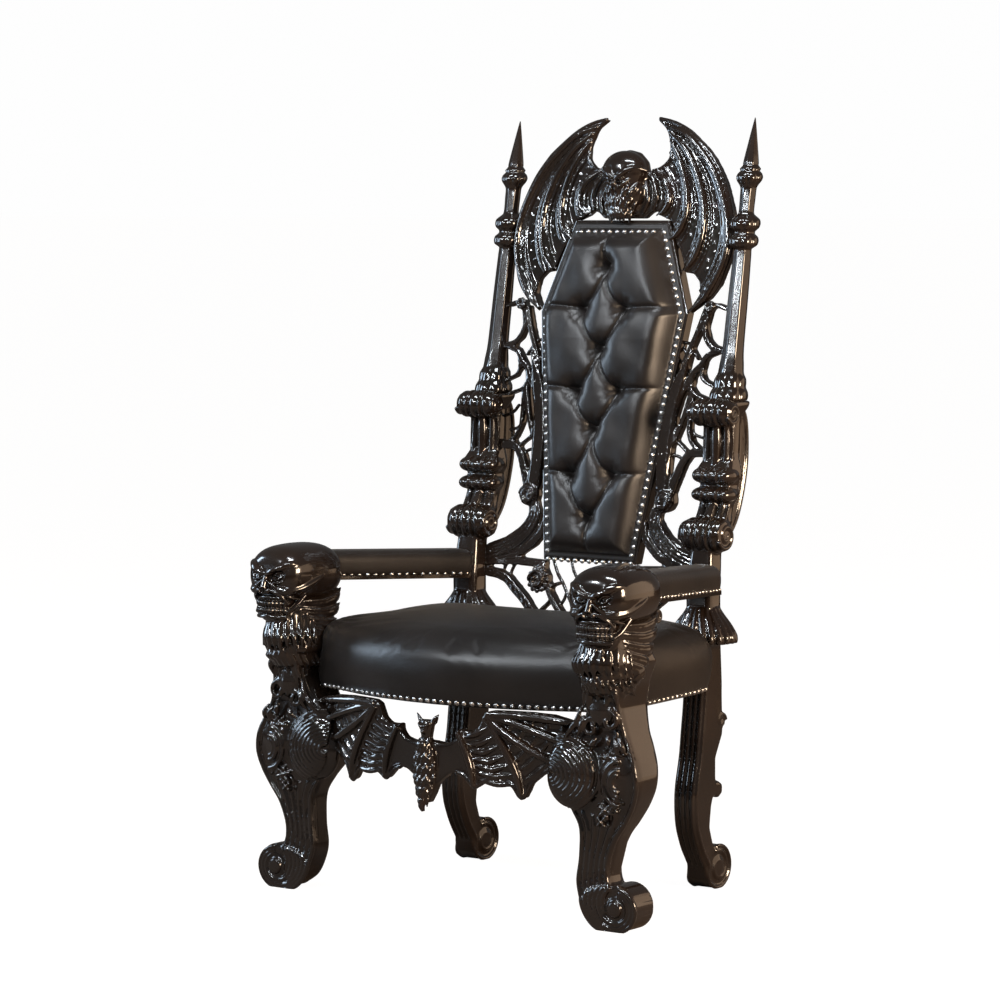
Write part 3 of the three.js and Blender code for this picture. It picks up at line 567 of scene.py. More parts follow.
def make_front_posts(wood):
    clay = Clay()
    clay.node("right_front_leg", top=0.668)
    carve_shank(clay)
    carve_knee(clay)
    carve_mane(clay)
    posts = clay.fire("right_front_carving", sizes().grain * 1.15, most=108000)
    clay = Clay()
    carve_skull(clay)
    skull = clay.fire("right_skull", sizes().grain * 0.72, 1, most=50000)
    set_points(skull, carve_eyes(points_of(skull)))
    skull.modifiers.new("smooth", "SMOOTH").iterations = 1
    settle(skull)
    clay = Clay()
    for m in (-1, 1):
        clay.ball(skull_at(m * 0.031, -0.0880, 0.7510), (0.0135, 0.0105, 0.0095))
        for lift, r in ((0.0080, 0.0030), (-0.0075, 0.0028)):
            clay.stroke([skull_at(m * 0.0125, -0.0985, 0.7460), skull_at(m * 0.031, -0.1000, 0.7510 + lift),
                         skull_at(m * 0.050, -0.0870, 0.7590)], [r * 0.7, r, r * 0.7])
    eyes = clay.fire("right_eyes", sizes().grain * 0.72, 1, most=5000)
    for o in (posts, skull, eyes):
        finish_both(o, wood, "lacquered_wood", "right_front_leg")


LEG = [  # y and z down the front of the back leg, from the collar to the foot
    (0.520, 0.600), (0.514, 0.500), (0.508, 0.434), (0.500, 0.376), (0.492, 0.318), (0.476, 0.250),
    (0.473, 0.204), (0.478, 0.158), (0.490, 0.124), (0.506, 0.092), (0.530, 0.056),
]


def spiral(clay, x, y, z, radius, turns, thick, start=0.0, way=1):
    """A scroll's raised line on a side face of the post."""
    n = int(18 * turns)
    line = []
    for j in range(n + 1):
        r = radius * (1 - 0.82 * j / n)
        a = start + way * j / n * turns * 2 * math.pi
        line.append(seat(x, y + r * math.cos(a), z + r * math.sin(a)))
    clay.stroke(line, thick)


def make_back_posts(wood):
    clay = Clay()
    clay.node("right_back_post")
    for i in range(4):
        x = BACK_POST_X - 0.021 + i * 0.014
        clay.stroke([seat(x, y - 0.0005, z) for y, z in LEG], 0.0058)
    for side in (-1, 1):
        x = BACK_POST_X + side * 0.0285
        foot = [seat(x, 0.576 + 0.050 * math.cos(a), 0.052 + 0.050 * math.sin(a))
                for a in np.radians(np.arange(215, 470, 20))]
        clay.stroke([seat(x, y + 0.006, z + 0.002) for y, z in LEG] + foot, 0.0050)
        spiral(clay, x, 0.576, 0.052, 0.040, 1.4, 0.0050, math.radians(110), -1)
        spiral(clay, x, 0.588, 0.400, 0.020, 1.0, 0.0035)
    # Pleats of the collar and its hem.
    pleats = 22
    for i in range(pleats):
        a = 2 * math.pi * i / pleats
        rows = ((0.672, 0.035, 0.033), (0.654, 0.045, 0.042), (0.630, 0.064, 0.052), (0.604, 0.079, 0.061),
                (0.590, 0.080, 0.062))
        clay.stroke([seat(BACK_POST_X + rx * math.cos(a), 0.550 + ry * math.sin(a), z) for z, rx, ry in rows],
                    [0.005, 0.0062, 0.0075, 0.0085, 0.0070])
    # Rings and rolls of the column, each in three lobes with thin collars between.
    for y, z, deep, high, wide in ((0.600, 0.981, 0.036, 0.020, 0.021), (0.596, 0.936, 0.034, 0.018, 0.021),
                                   (0.592, 1.130, 0.036, 0.035, 0.020), (0.562, 0.842, 0.045, 0.044, 0.020)):
        for i, half, size in ((-1, wide, 0.94), (0, wide * 1.15, 1.0), (1, wide, 0.94)):
            clay.ball(seat(BACK_POST_X + i * 0.036, y, z), (half, deep * size, high * size))
        for i in (-1, 1):
            x = BACK_POST_X + i * 0.0195
            clay.stroke([seat(x, y + deep * 0.90 * math.cos(a), z + high * 0.90 * math.sin(a))
                         for a in np.linspace(0.5, 5.8, 20)], 0.0038)
    for y, z, r in ((0.592, 1.130, 0.030), (0.562, 0.842, 0.039)):
        for side in (-1, 1):
            spiral(clay, BACK_POST_X + side * 0.055, y, z, r * 0.86, 1.5, 0.0050, math.radians(200), side)
    for line, r in (([(0.604, 1.108), (0.606, 1.060), (0.600, 1.004)], (0.010, 0.0155, 0.010)),
                    ([(0.592, 0.920), (0.582, 0.895), (0.566, 0.872)], (0.012, 0.0145, 0.012))):
        for i, away, behind, share in ((0, 0, 0, 1), (-1, 0.026, 0.003, 0.58), (-1, 0.038, 0.010, 0.42),
                                       (1, 0.026, 0.003, 0.58), (1, 0.038, 0.010, 0.42)):
            clay.stroke([seat(BACK_POST_X + i * away, y + behind, z) for y, z in line],
                        [q * share for q in r])
    arc = [(0.618, 1.152), (0.652, 1.150), (0.682, 1.128), (0.694, 1.085), (0.694, 1.013), (0.679, 0.945),
           (0.654, 0.883), (0.621, 0.842), (0.588, 0.816)]
    for side in (-1, 1):
        for inward, r in ((0.0, 0.0075), (0.016, 0.0040)):
            clay.stroke([seat(BACK_POST_X + side * 0.025, y - inward, z) for y, z in arc], r)
    carving = clay.fire("right_back_carving", sizes().grain * 1.15, most=72000)
    finish_both(carving, wood, "lacquered_wood", "right_back_post")


SPEAR = [  # height, radius and how deep the leaves of a ring are cut
    (1.1575, 0.0440, 0.10), (1.165, 0.0455, 0.13), (1.176, 0.0440, 0.13), (1.188, 0.0390, 0.05),
    (1.198, 0.0385, 0.10), (1.208, 0.0370, 0.12), (1.220, 0.0320, 0.04), (1.240, 0.0300, 0),
    (1.283, 0.0262, 0), (1.400, 0.0246, 0), (1.490, 0.0226, 0), (1.512, 0.0218, 0), (1.517, 0.0230, 0.05),
    (1.524, 0.0325, 0.13), (1.534, 0.0352, 0.15), (1.544, 0.0330, 0.13), (1.551, 0.0262, 0.04),
    (1.558, 0.0264, 0.04), (1.565, 0.0330, 0.13), (1.575, 0.0360, 0.15), (1.586, 0.0335, 0.13),
    (1.595, 0.0235, 0.04), (1.604, 0.0190, 0), (1.640, 0.0194, 0), (1.660, 0.0198, 0.02),
    (1.668, 0.0225, 0.10), (1.677, 0.0285, 0.16), (1.686, 0.0312, 0.16), (1.695, 0.0285, 0.13),
    (1.701, 0.0235, 0.04), (1.706, 0.0250, 0.10), (1.711, 0.0215, 0.06), (1.716, 0.0190, 0),
    (1.726, 0.0186, 0), (1.790, 0.0080, 0), (1.828, 0.0012, 0),
]


def make_spears(wood):
    rows = smooth_line([(0, 0, z, r) for z, r, _ in SPEAR], 0.0030)
    cut = np.interp(rows[:, 2], [s[0] for s in SPEAR], [s[2] for s in SPEAR])
    turn = np.linspace(0, 2 * math.pi, 64, endpoint=False)
    facet = math.cos(math.pi / 8) / np.cos(np.mod(turn, math.pi / 4) - math.pi / 8)
    bm = bmesh.new()
    rings = []
    for (_, _, z, r), deep in zip(rows, cut):
        leafy = 1 - deep * (1 - np.abs(np.cos(4 * turn)) ** 0.6) + 0.35 * deep * np.cos(16 * turn) ** 2
        mix = min(1.0, deep / 0.05)
        shape = facet * (1 - mix) + leafy * mix
        x0, y0, _ = back(SPEAR_X, z, 0.008)
        rings.append([bm.verts.new((x0 + r * k * math.cos(a), y0 + r * k * math.sin(a), z))
                      for a, k in zip(turn, shape)])
    for a, b in zip(rings, rings[1:]):
        for i in range(len(a)):
            j = (i + 1) % len(a)
            bm.faces.new((a[i], a[j], b[j], b[i]))
    bm.faces.new(list(reversed(rings[0])))
    bm.faces.new(rings[-1])
    bmesh.ops.recalc_face_normals(bm, faces=bm.faces)
    finish_both(object_of("right_spear_carving", bm), wood, "lacquered_wood", "right_spear")


WEB = [  # strands in millimetres on the right-hand side, then the half width
    ([(273, 1374), (266, 1347), (263, 1321), (274, 1297), (291, 1281), (330, 1270)], 7.5),
    ([(275, 1376), (292, 1381), (330, 1370)], 6),
    ([(262, 1372), (244, 1314), (231, 1283), (219, 1253), (204, 1206), (192, 1168), (182, 1110)], 8),
    ([(310, 1273), (278, 1261), (264, 1240), (243, 1220), (230, 1193), (213, 1162), (200, 1110)], 7.5),
    ([(272, 1245), (267, 1220), (277, 1201), (330, 1178)], 5),
    ([(244, 1212), (241, 1183), (257, 1167), (310, 1150)], 5),
    ([(244, 1184), (235, 1139), (222, 1092), (205, 1050)], 7),
    ([(248, 1170), (246, 1128), (246, 1100), (247, 1077), (259, 1053), (285, 1034)], 6),
    ([(322, 1036), (286, 1030), (257, 1028), (237, 1005), (220, 965), (204, 920)], 11),
    ([(182, 896), (176, 868), (186, 842), (208, 815), (250, 785), (318, 764)], 20),
    ([(140, 900), (140, 868), (150, 828), (176, 797), (215, 772), (318, 753)], 11),
    ([(318, 721), (271, 715), (243, 705), (217, 682), (187, 658), (156, 623), (135, 580), (124, 546)], 12),
    ([(146, 752), (134, 724), (122, 699), (109, 672), (88, 645), (66, 620), (46, 580), (38, 550)], 8.5),
    ([(114, 770), (91, 726), (72, 702), (52, 670), (28, 640), (-6, 618)], 6),
    ([(58, 770), (44, 733), (20, 706), (-6, 690)], 5.5),
    ([(318, 744), (275, 746), (229, 750), (183, 749), (130, 745)], 10),
]
RUNGS = [
    [(180, 1292), (205, 1291), (230, 1287)], [(228, 1224), (240, 1213), (250, 1206)],
    [(204, 1022), (219, 1020), (233, 1012)], [(166, 806), (180, 801), (192, 822)],
    [(250, 746), (258, 731), (262, 714)], [(225, 746), (236, 724), (238, 706)],
    [(124, 545), (84, 557), (36, 552)], [(84, 646), (72, 663), (66, 684)],
    [(196, 1290), (214, 1262), (222, 1240)], [(262, 1130), (280, 1110), (318, 1096)],
    [(252, 1080), (262, 1072), (285, 1066)],
]
STALK = [[(204, 1216), (189, 1176), (178, 1120), (171, 1058), (172, 1000), (176, 940)],
         [(232, 1262), (213, 1178), (201, 1120), (196, 1058), (196, 1000), (199, 940)]]


def make_web(wood):
    clay = Clay()
    clay.node("web_tracery", 0.0032, 5)
    for line, half in WEB:
        p = np.array(line, float) / 1000
        way = np.gradient(p, axis=0)
        across = np.column_stack([-way[:, 1], way[:, 0]]) / np.linalg.norm(way, axis=1)[:, None]
        reeds = 4 if half > 15 else 3 if half > 9 else 2
        width = half / 1000
        r = width / reeds * 0.86
        for i in range(reeds):
            q = p + across * (width * ((2 * i + 1) / reeds - 1) * 0.92)
            for m in (-1, 1):
                clay.stroke([back(m * x, z, -0.0006 - 0.0015 * (reeds > 3)) for x, z in q],
                            [r * 0.7] + [r] * (len(q) - 2) + [r * 0.7])
    for m in (-1, 1):
        for line in RUNGS:
            clay.stroke([back(m * x / 1000, z / 1000, 0.010) for x, z in line], 0.0046)
        left, right = np.array(STALK[0], float) / 1000, np.array(STALK[1], float) / 1000
        for i in range(5):
            clay.stroke([back(m * x, z, -0.0065) for x, z in left + (right - left) * i / 4],
                        [0.0025, 0.0034, 0.0040, 0.0042, 0.0042, 0.0036])
        for radius, turns, cx, cz, d in ((0.024, 1.6, 0.199, 0.913, -0.010),
                                         (0.0245, 1.2, 0.146, 0.708, -0.0125)):
            spin = []
            for f in np.arange(27) / 26:
                r = radius * (1 - 0.7 * f)
                a = f * turns * 6.28
                spin.append(back(m * (cx + r * math.cos(a)), cz + r * math.sin(a), d - 0.004 * f))
            clay.stroke(spin, 0.0042)
        for petals, r, cx, cz, d, wide in ((12, 0.0275, 0.146, 0.708, -0.004, 0.005),
                                           (7, 0.010, 0.276, 1.378, -0.006, 0.006)):
            for i in range(petals):
                a = i * 2 * math.pi / petals
                clay.ball(back(m * (cx + r * math.cos(a)), cz + r * math.sin(a), d),
                          (0.006, wide, 0.006), fine=12)
    web = clay.fire("web_carving", sizes().grain * 1.15, most=78000)
    finish_piece(web, wood, "lacquered_wood", "web_tracery")


def make_board(wood):
    board = new_object("coffin_frame", node_copy("coffin_board"))
    m = board.modifiers.new("edge", "BEVEL")
    m.width = 0.0025
    m.segments = 3
    m.affect = "EDGES"
    m.profile = 0.5
    m.material = -1
    m.limit_method = "ANGLE"
    settle(board)
    bm = bmesh.new()
    bm.from_mesh(board.data)
    bmesh.ops.triangulate(bm, faces=bm.faces)
    bm.to_mesh(board.data)
    bm.free()
    finish_piece(board, wood, "lacquered_wood", "coffin_board")


CREST_RIBS = [
    [(100, 1812), (160, 1790), (214, 1744), (258, 1690), (292, 1620), (308, 1550), (300, 1480), (262, 1404),
     (222, 1366)],
    [(112, 1796), (158, 1760), (202, 1700), (230, 1630), (236, 1560), (222, 1500), (194, 1462)],
    [(118, 1776), (150, 1730), (176, 1670), (184, 1610), (170, 1560), (142, 1534)],
    [(84, 1700), (112, 1680), (130, 1650), (128, 1618), (106, 1596)],
]
CREST_EDGE = [
    (76, 1829), (120, 1819), (165, 1797), (218, 1755), (243, 1729), (277, 1679), (308, 1603), (317, 1550),
    (314, 1502), (302, 1464), (290, 1431), (266, 1399), (222, 1364),
]
CREST_INNER = [(78, 1828), (106, 1802), (120, 1763), (119, 1732), (97, 1710), (70, 1702)]


def fine_line(line):
    """A closely stepped curve through points in millimetres."""
    return smooth_line(np.array(line, float) / 1000, 0.002)


def along(line, t):
    """The point at a share t of a line's length."""
    return line[int(t * (len(line) - 1))]


def furrows(clay, a, b, n, d, r, wave, place):
    """Short folds of skin lying across the space between two ribs."""
    p, q = fine_line(a), fine_line(b)
    for i in range(1, n):
        t = i / n
        s, e = along(p, t), along(q, t)
        mid = (s + e) / 2 + np.array([0, -wave * math.sin(math.pi * t)])
        line = [s + (mid - s) * 0.25, s + (mid - s) * 0.7, mid, e + (mid - e) * 0.7, e + (mid - e) * 0.25]
        for m in (-1, 1):
            clay.stroke([place(m * x, z, d) for x, z in line], [r * 0.4, r * 0.9, r, r * 0.9, r * 0.4])


def make_crest(wood):
    clay = Clay()
    clay.node("bat_crest", 0.0032, 6)
    panels = [(fine_line(a), fine_line(b)) for a, b in zip(CREST_RIBS, CREST_RIBS[1:])]
    for m in (-1, 1):
        for line in CREST_RIBS:
            n = len(line)
            clay.stroke([back(m * x / 1000, z / 1000, -0.0065) for x, z in line],
                        [0.0035] + [0.0078] * (n - 2) + [0.0030])
            clay.stroke([back(m * (x - 12) / 1000, (z - 3) / 1000, -0.0015) for x, z in line[1:]],
                        [0.0030] + [0.0046] * (n - 3) + [0.0020])
        for line, r in ((CREST_EDGE, 0.0055), (CREST_INNER, 0.0050)):
            clay.stroke([back(m * x / 1000, z / 1000, 0.001) for x, z in line], r)
        # Small chained leaves run down the middle of each panel of skin.
        for (p, q), n in zip(panels, (22, 17, 10)):
            for j in range(2, n - 2):
                x, z = (along(p, j / n) + along(q, j / n)) / 2
                way = 1 if j % 2 else -1
                clay.ball(back(m * (x + way * 0.0048 * 0.7), z, 0.0020), (0.0038, 0.0034, 0.0085),
                          (0, way * 0.5 * m, 0), 12)
        # Fine lines of the skin follow the ribs, and short ribs run from the head to the coffin.
        for p, q in panels:
            t = np.linspace(0.04, 0.94, 14)
            pa = np.array([along(p, f) for f in t])
            qa = np.array([along(q, f) for f in t])
            for share in (0.28, 0.74):
                clay.stroke([back(m * x, z, 0.0) for x, z in pa + (qa - pa) * share],
                            [0.002] + [0.0036] * 12 + [0.002])
        for line in ([(0.060, 1.700), (0.082, 1.676), (0.094, 1.640), (0.086, 1.604)],
                     [(0.056, 1.684), (0.066, 1.656), (0.068, 1.628), (0.058, 1.600)]):
            clay.stroke([back(m * x, z, -0.004) for x, z in line], [0.005, 0.0068, 0.0068, 0.003])
    # Breast: a bulk of fur whose locks fall inward to a point.
    clay.ball(back(0, 1.650, -0.010), (0.060, 0.034, 0.050))
    for i in range(-7, 8):
        t = i / 7
        for k in range(3):
            z = 1.680 - k * 0.026 - 0.009 * (i % 2) - 0.008 * abs(t)
            x = 0.058 * t * (1 - 0.20 * k)
            d = -0.010 - 0.036 * math.sqrt(max(0.03, 1 - t * t * 0.95)) * (1 - 0.10 * k)
            clay.stroke([back(x, z, d + 0.004), back(x * 0.90, z - 0.016, d - 0.0030),
                         back(x * 0.72, z - 0.036, d + 0.005)], [0.0025, 0.0054, 0.0016])
    # The dome over a wavy brow, deep-set eyes, a short nose and two small fangs.
    clay.ball(back(0, 1.701, -0.014), (0.061, 0.043, 0.051))
    for m in (-1, 1):
        clay.stroke([back(m * 0.003, 1.683, -0.059), back(m * 0.016, 1.694, -0.059),
                     back(m * 0.032, 1.706, -0.050), back(m * 0.050, 1.708, -0.034),
                     back(m * 0.066, 1.702, -0.014)], [0.0055, 0.0078, 0.0075, 0.0066, 0.0040])
        clay.stroke([back(m * 0.003, 1.662, -0.057), back(m * 0.018, 1.668, -0.054),
                     back(m * 0.034, 1.682, -0.044)], [0.0040, 0.0058, 0.0030])
        clay.ball(back(m * 0.017, 1.682, -0.052), (0.0070, 0.0060, 0.0052), fine=14)
        clay.rod(back(m * 0.006, 1.660, -0.060), back(m * 0.005, 1.648, -0.056), 0.0032, 0.0006, 12)
    clay.ball(back(0, 1.672, -0.061), (0.0085, 0.0090, 0.0080))
    crest = clay.fire("bat_crest_carving", sizes().grain * 1.05, most=98000)
    finish_piece(crest, wood, "lacquered_wood", "bat_crest")


APRON_RIBS = [
    [(160, 470), (240, 470), (330, 462), (366, 456)], [(160, 468), (240, 448), (320, 420), (366, 402)],
    [(156, 464), (200, 400), (232, 340), (246, 286)], [(158, 466), (220, 420), (290, 380), (336, 364)],
    [(86, 424), (108, 380), (122, 340), (127, 300)],
]
APRON_EDGE = [
    (340, 362), (316, 356), (286, 336), (264, 316), (247, 284), (236, 286), (222, 307), (200, 323),
    (184, 328), (160, 319), (138, 306), (127, 299), (118, 306), (100, 323), (80, 330),
]


def apron_at(x, z, d=0.0):
    """A point on the bowed face of the apron."""
    return seat(x, -0.080 + 0.060 * (x / 0.330) ** 2 + d, z)


BODY_HALF = ([0.262, 0.285, 0.330, 0.370, 0.404], [0.004, 0.018, 0.031, 0.029, 0.016])


def make_apron(wood):
    clay = Clay()
    clay.node("bat_apron", 0.0032, 6)
    for m in (-1, 1):
        for line in APRON_RIBS:
            clay.stroke([apron_at(m * x / 1000, z / 1000, -0.007) for x, z in line],
                        [0.0060] + [0.0090] * (len(line) - 2) + [0.0035])
        clay.stroke([apron_at(m * x / 1000, z / 1000, 0.002) for x, z in APRON_EDGE], 0.0055)
    for a, b, n, d, r, wave in ((4, 2, 8, 0.0005, 0.0075, 0.012), (2, 3, 7, 0.0010, 0.0062, 0.010),
                                (3, 1, 7, 0.0010, 0.0055, 0.006), (1, 0, 6, 0.0015, 0.0048, 0.004)):
        furrows(clay, APRON_RIBS[a], APRON_RIBS[b], n, d, r, wave, apron_at)
    # The small bat's fur, brows, snout and eyes.
    for i in range(-4, 5):
        t = i / 4.4
        for k in range(6):
            z = 0.404 - k * 0.026 - 0.009 * (i % 2)
            half, below = np.interp([z, z - 0.030], *BODY_HALF)
            d = -0.024 * math.sqrt(max(0.05, 1 - t * t)) - 0.002
            clay.stroke([apron_at(half * t, z, d + 0.004), apron_at(half * t, z - 0.014, d - 0.002),
                         apron_at(below * t, z - 0.030, d + 0.006)], [0.0022, 0.0046, 0.0014])
    for m in (-1, 1):
        for line, r in (([(0.002, 0.430, -0.018), (0.010, 0.434, -0.017), (0.018, 0.440, -0.010)],
                         [0.003, 0.0038, 0.002]),
                        ([(0.014, 0.436, -0.002), (0.022, 0.450, -0.001), (0.032, 0.460, 0.003)],
                         [0.006, 0.0045, 0.0015])):
            clay.stroke([apron_at(m * x, z, d) for x, z, d in line], r)
        clay.ball(apron_at(m * 0.008, 0.427, -0.0145), (0.0036, 0.0030, 0.0034), fine=14)
    clay.ball(apron_at(0, 0.420, -0.0170), (0.0065, 0.0065, 0.0055), fine=16)
    apron = clay.fire("bat_apron_carving", sizes().grain * 1.05, most=50000)
    finish_piece(apron, wood, "lacquered_wood", "bat_apron")


def coffin_half(z):
    return np.interp(z, [p[1] for p in COFFIN], [p[0] for p in COFFIN])


def edge_distance(x, z):
    """How far a point lies inside the coffin's outline."""
    side = []
    for (xa, za), (xb, zb) in zip(COFFIN, COFFIN[1:]):
        length = math.hypot(xb - xa, zb - za)
        side.append(((xa - np.abs(x)) * (zb - za) + (z - za) * (xb - xa)) / length)
    return np.minimum(np.minimum(side[0], side[1]), np.minimum(z - COFFIN[0][1], COFFIN[2][1] - z))


def bent(a, b, sag):
    """A line between two buttons that bows sideways."""
    a, b = np.array(a), np.array(b)
    t = np.linspace(0, 1, 24)[:, None]
    side = np.array([-(b - a)[1], (b - a)[0]])
    return a + (b - a) * t + side * sag * 4 * t * (1 - t)


def creases():
    """Points along the folds between the buttons and out to the edge."""
    lines = [bent((0, 1.472), (0.012, 1.575), 0.16), bent((0, 0.867), (0, 0.775), 0.0)]
    for m in (-1, 1):
        for top, side, low, out in ((1.472, 1.370, 1.276, 0.184), (1.276, 1.175, 1.083, 0.165),
                                    (1.083, 0.970, 0.867, 0.138)):
            lines.append(bent((0, top), (m * 0.060, side), -m * 0.12))
            lines.append(bent((m * 0.060, side), (0, low), m * 0.10))
            lines.append(bent((m * 0.060, side), (m * out, side + 0.006), m * 0.03))
    return np.vstack(lines)


def pad_depth(x, z):
    """How proud the buttoned leather stands at each point of the coffin."""
    e = edge_distance(x, z)
    full = 0.050 * (1 + 0.45 * np.clip((z - 0.8) / 0.5, 0, 1))
    t = np.clip((e - 0.022) / 0.052, 0, 1)
    depth = 0.0080 + (full - 0.012) * (1 - (1 - t) ** 2.7) + 0.004 * np.clip((e - 0.05) / 0.1, 0, 1)
    near = np.full(x.shape, 9.0)
    for px, pz in creases():
        near = np.minimum(near, np.hypot(x - px, z - pz))
    soft = np.clip(t * 1.3, 0, 1)
    depth -= soft * (0.0075 * np.exp(-(near / 0.0045) ** 1.5) + 0.0075 * np.exp(-near / 0.018))
    for bx, bz in BUTTONS:
        r = np.hypot(x - bx, z - bz)
        turn = np.arctan2(z - bz, x - bx)
        depth -= sizes().tuft_depth * np.exp(-(r / 0.020) ** 1.5)
        depth -= 0.0013 * np.exp(-((r - 0.022) / 0.014) ** 2) * (0.5 + 0.5 * np.cos(9 * turn + bz * 40))
    depth += 0.0011 * np.sin(x * 61 + z * 23) * np.sin(z * 37 - x * 19) * t
    return np.maximum(depth, 0.0035)


def make_coffin_pad(leather):
    rows, cols = ((250, 132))
    v = np.linspace(0, 1, rows)
    u = np.sin(np.linspace(-1, 1, cols) * math.pi / 2 * 0.86) / math.sin(math.pi / 2 * 0.86)
    low, high = COFFIN[0][1] + 0.0065, COFFIN[2][1] - 0.0065
    z = (low + (high - low) * v)[:, None] + np.zeros(cols)[None, :]
    x = u[None, :] * (coffin_half(z) - 0.0068)
    depth = pad_depth(x, z)
    depth[0, :] = depth[-1, :] = 0.0056
    depth[:, 0] = depth[:, -1] = 0.0056
    bm = bmesh.new()
    grid = [[bm.verts.new(back(x[i, j], z[i, j], -depth[i, j])) for j in range(cols)] for i in range(rows)]
    for i in range(rows - 1):
        for j in range(cols - 1):
            bm.faces.new((grid[i][j], grid[i][j + 1], grid[i + 1][j + 1], grid[i + 1][j]))
    rim = grid[0] + [r[-1] for r in grid[1:]] + grid[-1][-2::-1] + [r[0] for r in grid[-2:0:-1]]
    under = [bm.verts.new(back(w.co.x, w.co.z, -0.0004)) for w in rim]
    for i in range(len(rim)):
        j = (i + 1) % len(rim)
        bm.faces.new((rim[j], rim[i], under[i], under[j]))
    bm.faces.new(under)
    bmesh.ops.recalc_face_normals(bm, faces=bm.faces)
    pad = object_of("coffin_leather", bm)
    finish_piece(pad, leather, "black_leather", "coffin_pad")


def make_buttons(leather):
    bm = bmesh.new()
    radius = sizes().button_radius
    tilt = Matrix.Rotation(math.pi / 2 - math.atan(LEAN), 4, "X")
    for bx, bz in BUTTONS:
        depth = pad_depth(np.array([[bx]]), np.array([[bz]]))[0, 0]
        place = Matrix.Translation(Vector(back(bx, bz, -depth - 0.0015))) @ tilt
        shape = place @ Matrix.Diagonal((radius, radius, radius * 0.46, 1))
        bmesh.ops.create_uvsphere(bm, u_segments=28, v_segments=14, radius=1.0, matrix=shape)
    finish_piece(object_of("leather_buttons", bm), leather, "black_leather")


def swell(o, pressure, cap, pinned):
    """Inflates a pad as cloth; points that the pinned test picks stay where they are."""
    start = points_of(o)
    group = o.vertex_groups.new(name="pin")
    group.add([int(i) for i in np.nonzero(pinned(start))[0]], 1.0, "REPLACE")
    m = o.modifiers.new("cloth", "CLOTH")
    m.settings.use_pressure = True
    m.settings.uniform_pressure_force = pressure
    m.settings.vertex_group_mass = "pin"
    m.settings.effector_weights.gravity = 0
    m.settings.quality = 5
    m.point_cache.frame_end = 20
    scene = bpy.context.scene
    for f in range(1, 21):
        scene.frame_set(f)
    settle(o)
    scene.frame_set(1)
    move = points_of(o) - start
    far = np.linalg.norm(move, axis=1)
    move *= np.minimum(1.0, cap / np.maximum(far, 1e-9))[:, None]
    set_points(o, start + move)
    o.vertex_groups.clear()


SEAT_PLAN = [
    (0, -0.066), (0.100, -0.059), (0.200, -0.038), (0.300, -0.008), (0.352, 0.009), (0.392, 0.022),
    (0.422, 0.042), (0.430, 0.092), (0.427, 0.170), (0.420, 0.260), (0.412, 0.360), (0.403, 0.450),
    (0.395, 0.486), (0.376, 0.505), (0.340, 0.511), (0.200, 0.5115), (0, 0.5115),
]
SEAT_RISE = [
    (0.001, -0.006), (-0.002, 0.004), (-0.006, 0.025), (-0.010, 0.060), (-0.009, 0.092), (0.001, 0.120),
    (0.018, 0.140), (0.045, 0.153), (0.085, 0.162), (0.140, 0.169), (0.200, 0.173), (0.255, 0.175),
]


def difference(o, name, grow):
    """Cuts a frame node, grown a little, out of an object."""
    cutter = new_object("cutter", node_copy(name))
    m = cutter.modifiers.new("grow", "DISPLACE")
    m.strength = grow
    m.mid_level = 0.0
    settle(cutter)
    m = o.modifiers.new("cut", "BOOLEAN")
    m.operation = "DIFFERENCE"
    m.solver = "EXACT"
    m.object = cutter
    settle(o)
    bpy.data.objects.remove(cutter)


def held(co):
    """The points of the seat that stay: its hem, its rear edge and its front corners."""
    low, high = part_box("seat_cushion")
    corners = (np.abs(co[:, 0]) > 0.34) & (co[:, 1] < low.y + 0.30)
    return (co[:, 2] < low.z + 0.05) | (co[:, 1] > high.y - 0.01) | corners


def make_seat(leather):
    plan = smooth_rows([(-x, y) for x, y in SEAT_PLAN[:0:-1]] + SEAT_PLAN, 7)[:-1]
    rings = []
    for inset, rise in smooth_rows(SEAT_RISE, 3):
        scale = np.array([(0.430 - inset) / 0.430, (0.289 - inset) / 0.289])
        rings.append([seat(x * scale[0], min(0.2225 + (y - 0.2225) * scale[1], 0.5115), 0.487 + rise)
                      for x, y in plan])
    clay = Clay()
    clay.skin(rings)
    seat_pad = clay.fire("seat_leather", 0.0060, 4)
    for name in ("right_front_leg", "left_front_leg", "right_back_post", "left_back_post"):
        difference(seat_pad, name, 0.0030)
    seat_pad = remesh(seat_pad, 0.0060, 5)
    swell(seat_pad, 4.0, 0.006, held)
    seat_pad.modifiers.new("smooth", "SMOOTH").iterations = 3
    settle(seat_pad)
    co = points_of(seat_pad)
    # Drawn wrinkles that run from the front corners.
    for side in (-1, 1):
        dx, dy = co[:, 0] * side - 0.385, co[:, 1] + SHIFT - 0.060
        r = np.hypot(dx, dy)
        ripple = 0.0016 * np.cos(np.arctan2(dy, -dx) * 16) * np.exp(-((r - 0.05) / 0.045) ** 2)
        co[:, 2] += ripple * (co[:, 2] > 0.58)
    set_points(seat_pad, co)
    shade_smooth(seat_pad.data)
    finish_piece(seat_pad, leather, "black_leather", "seat_cushion")


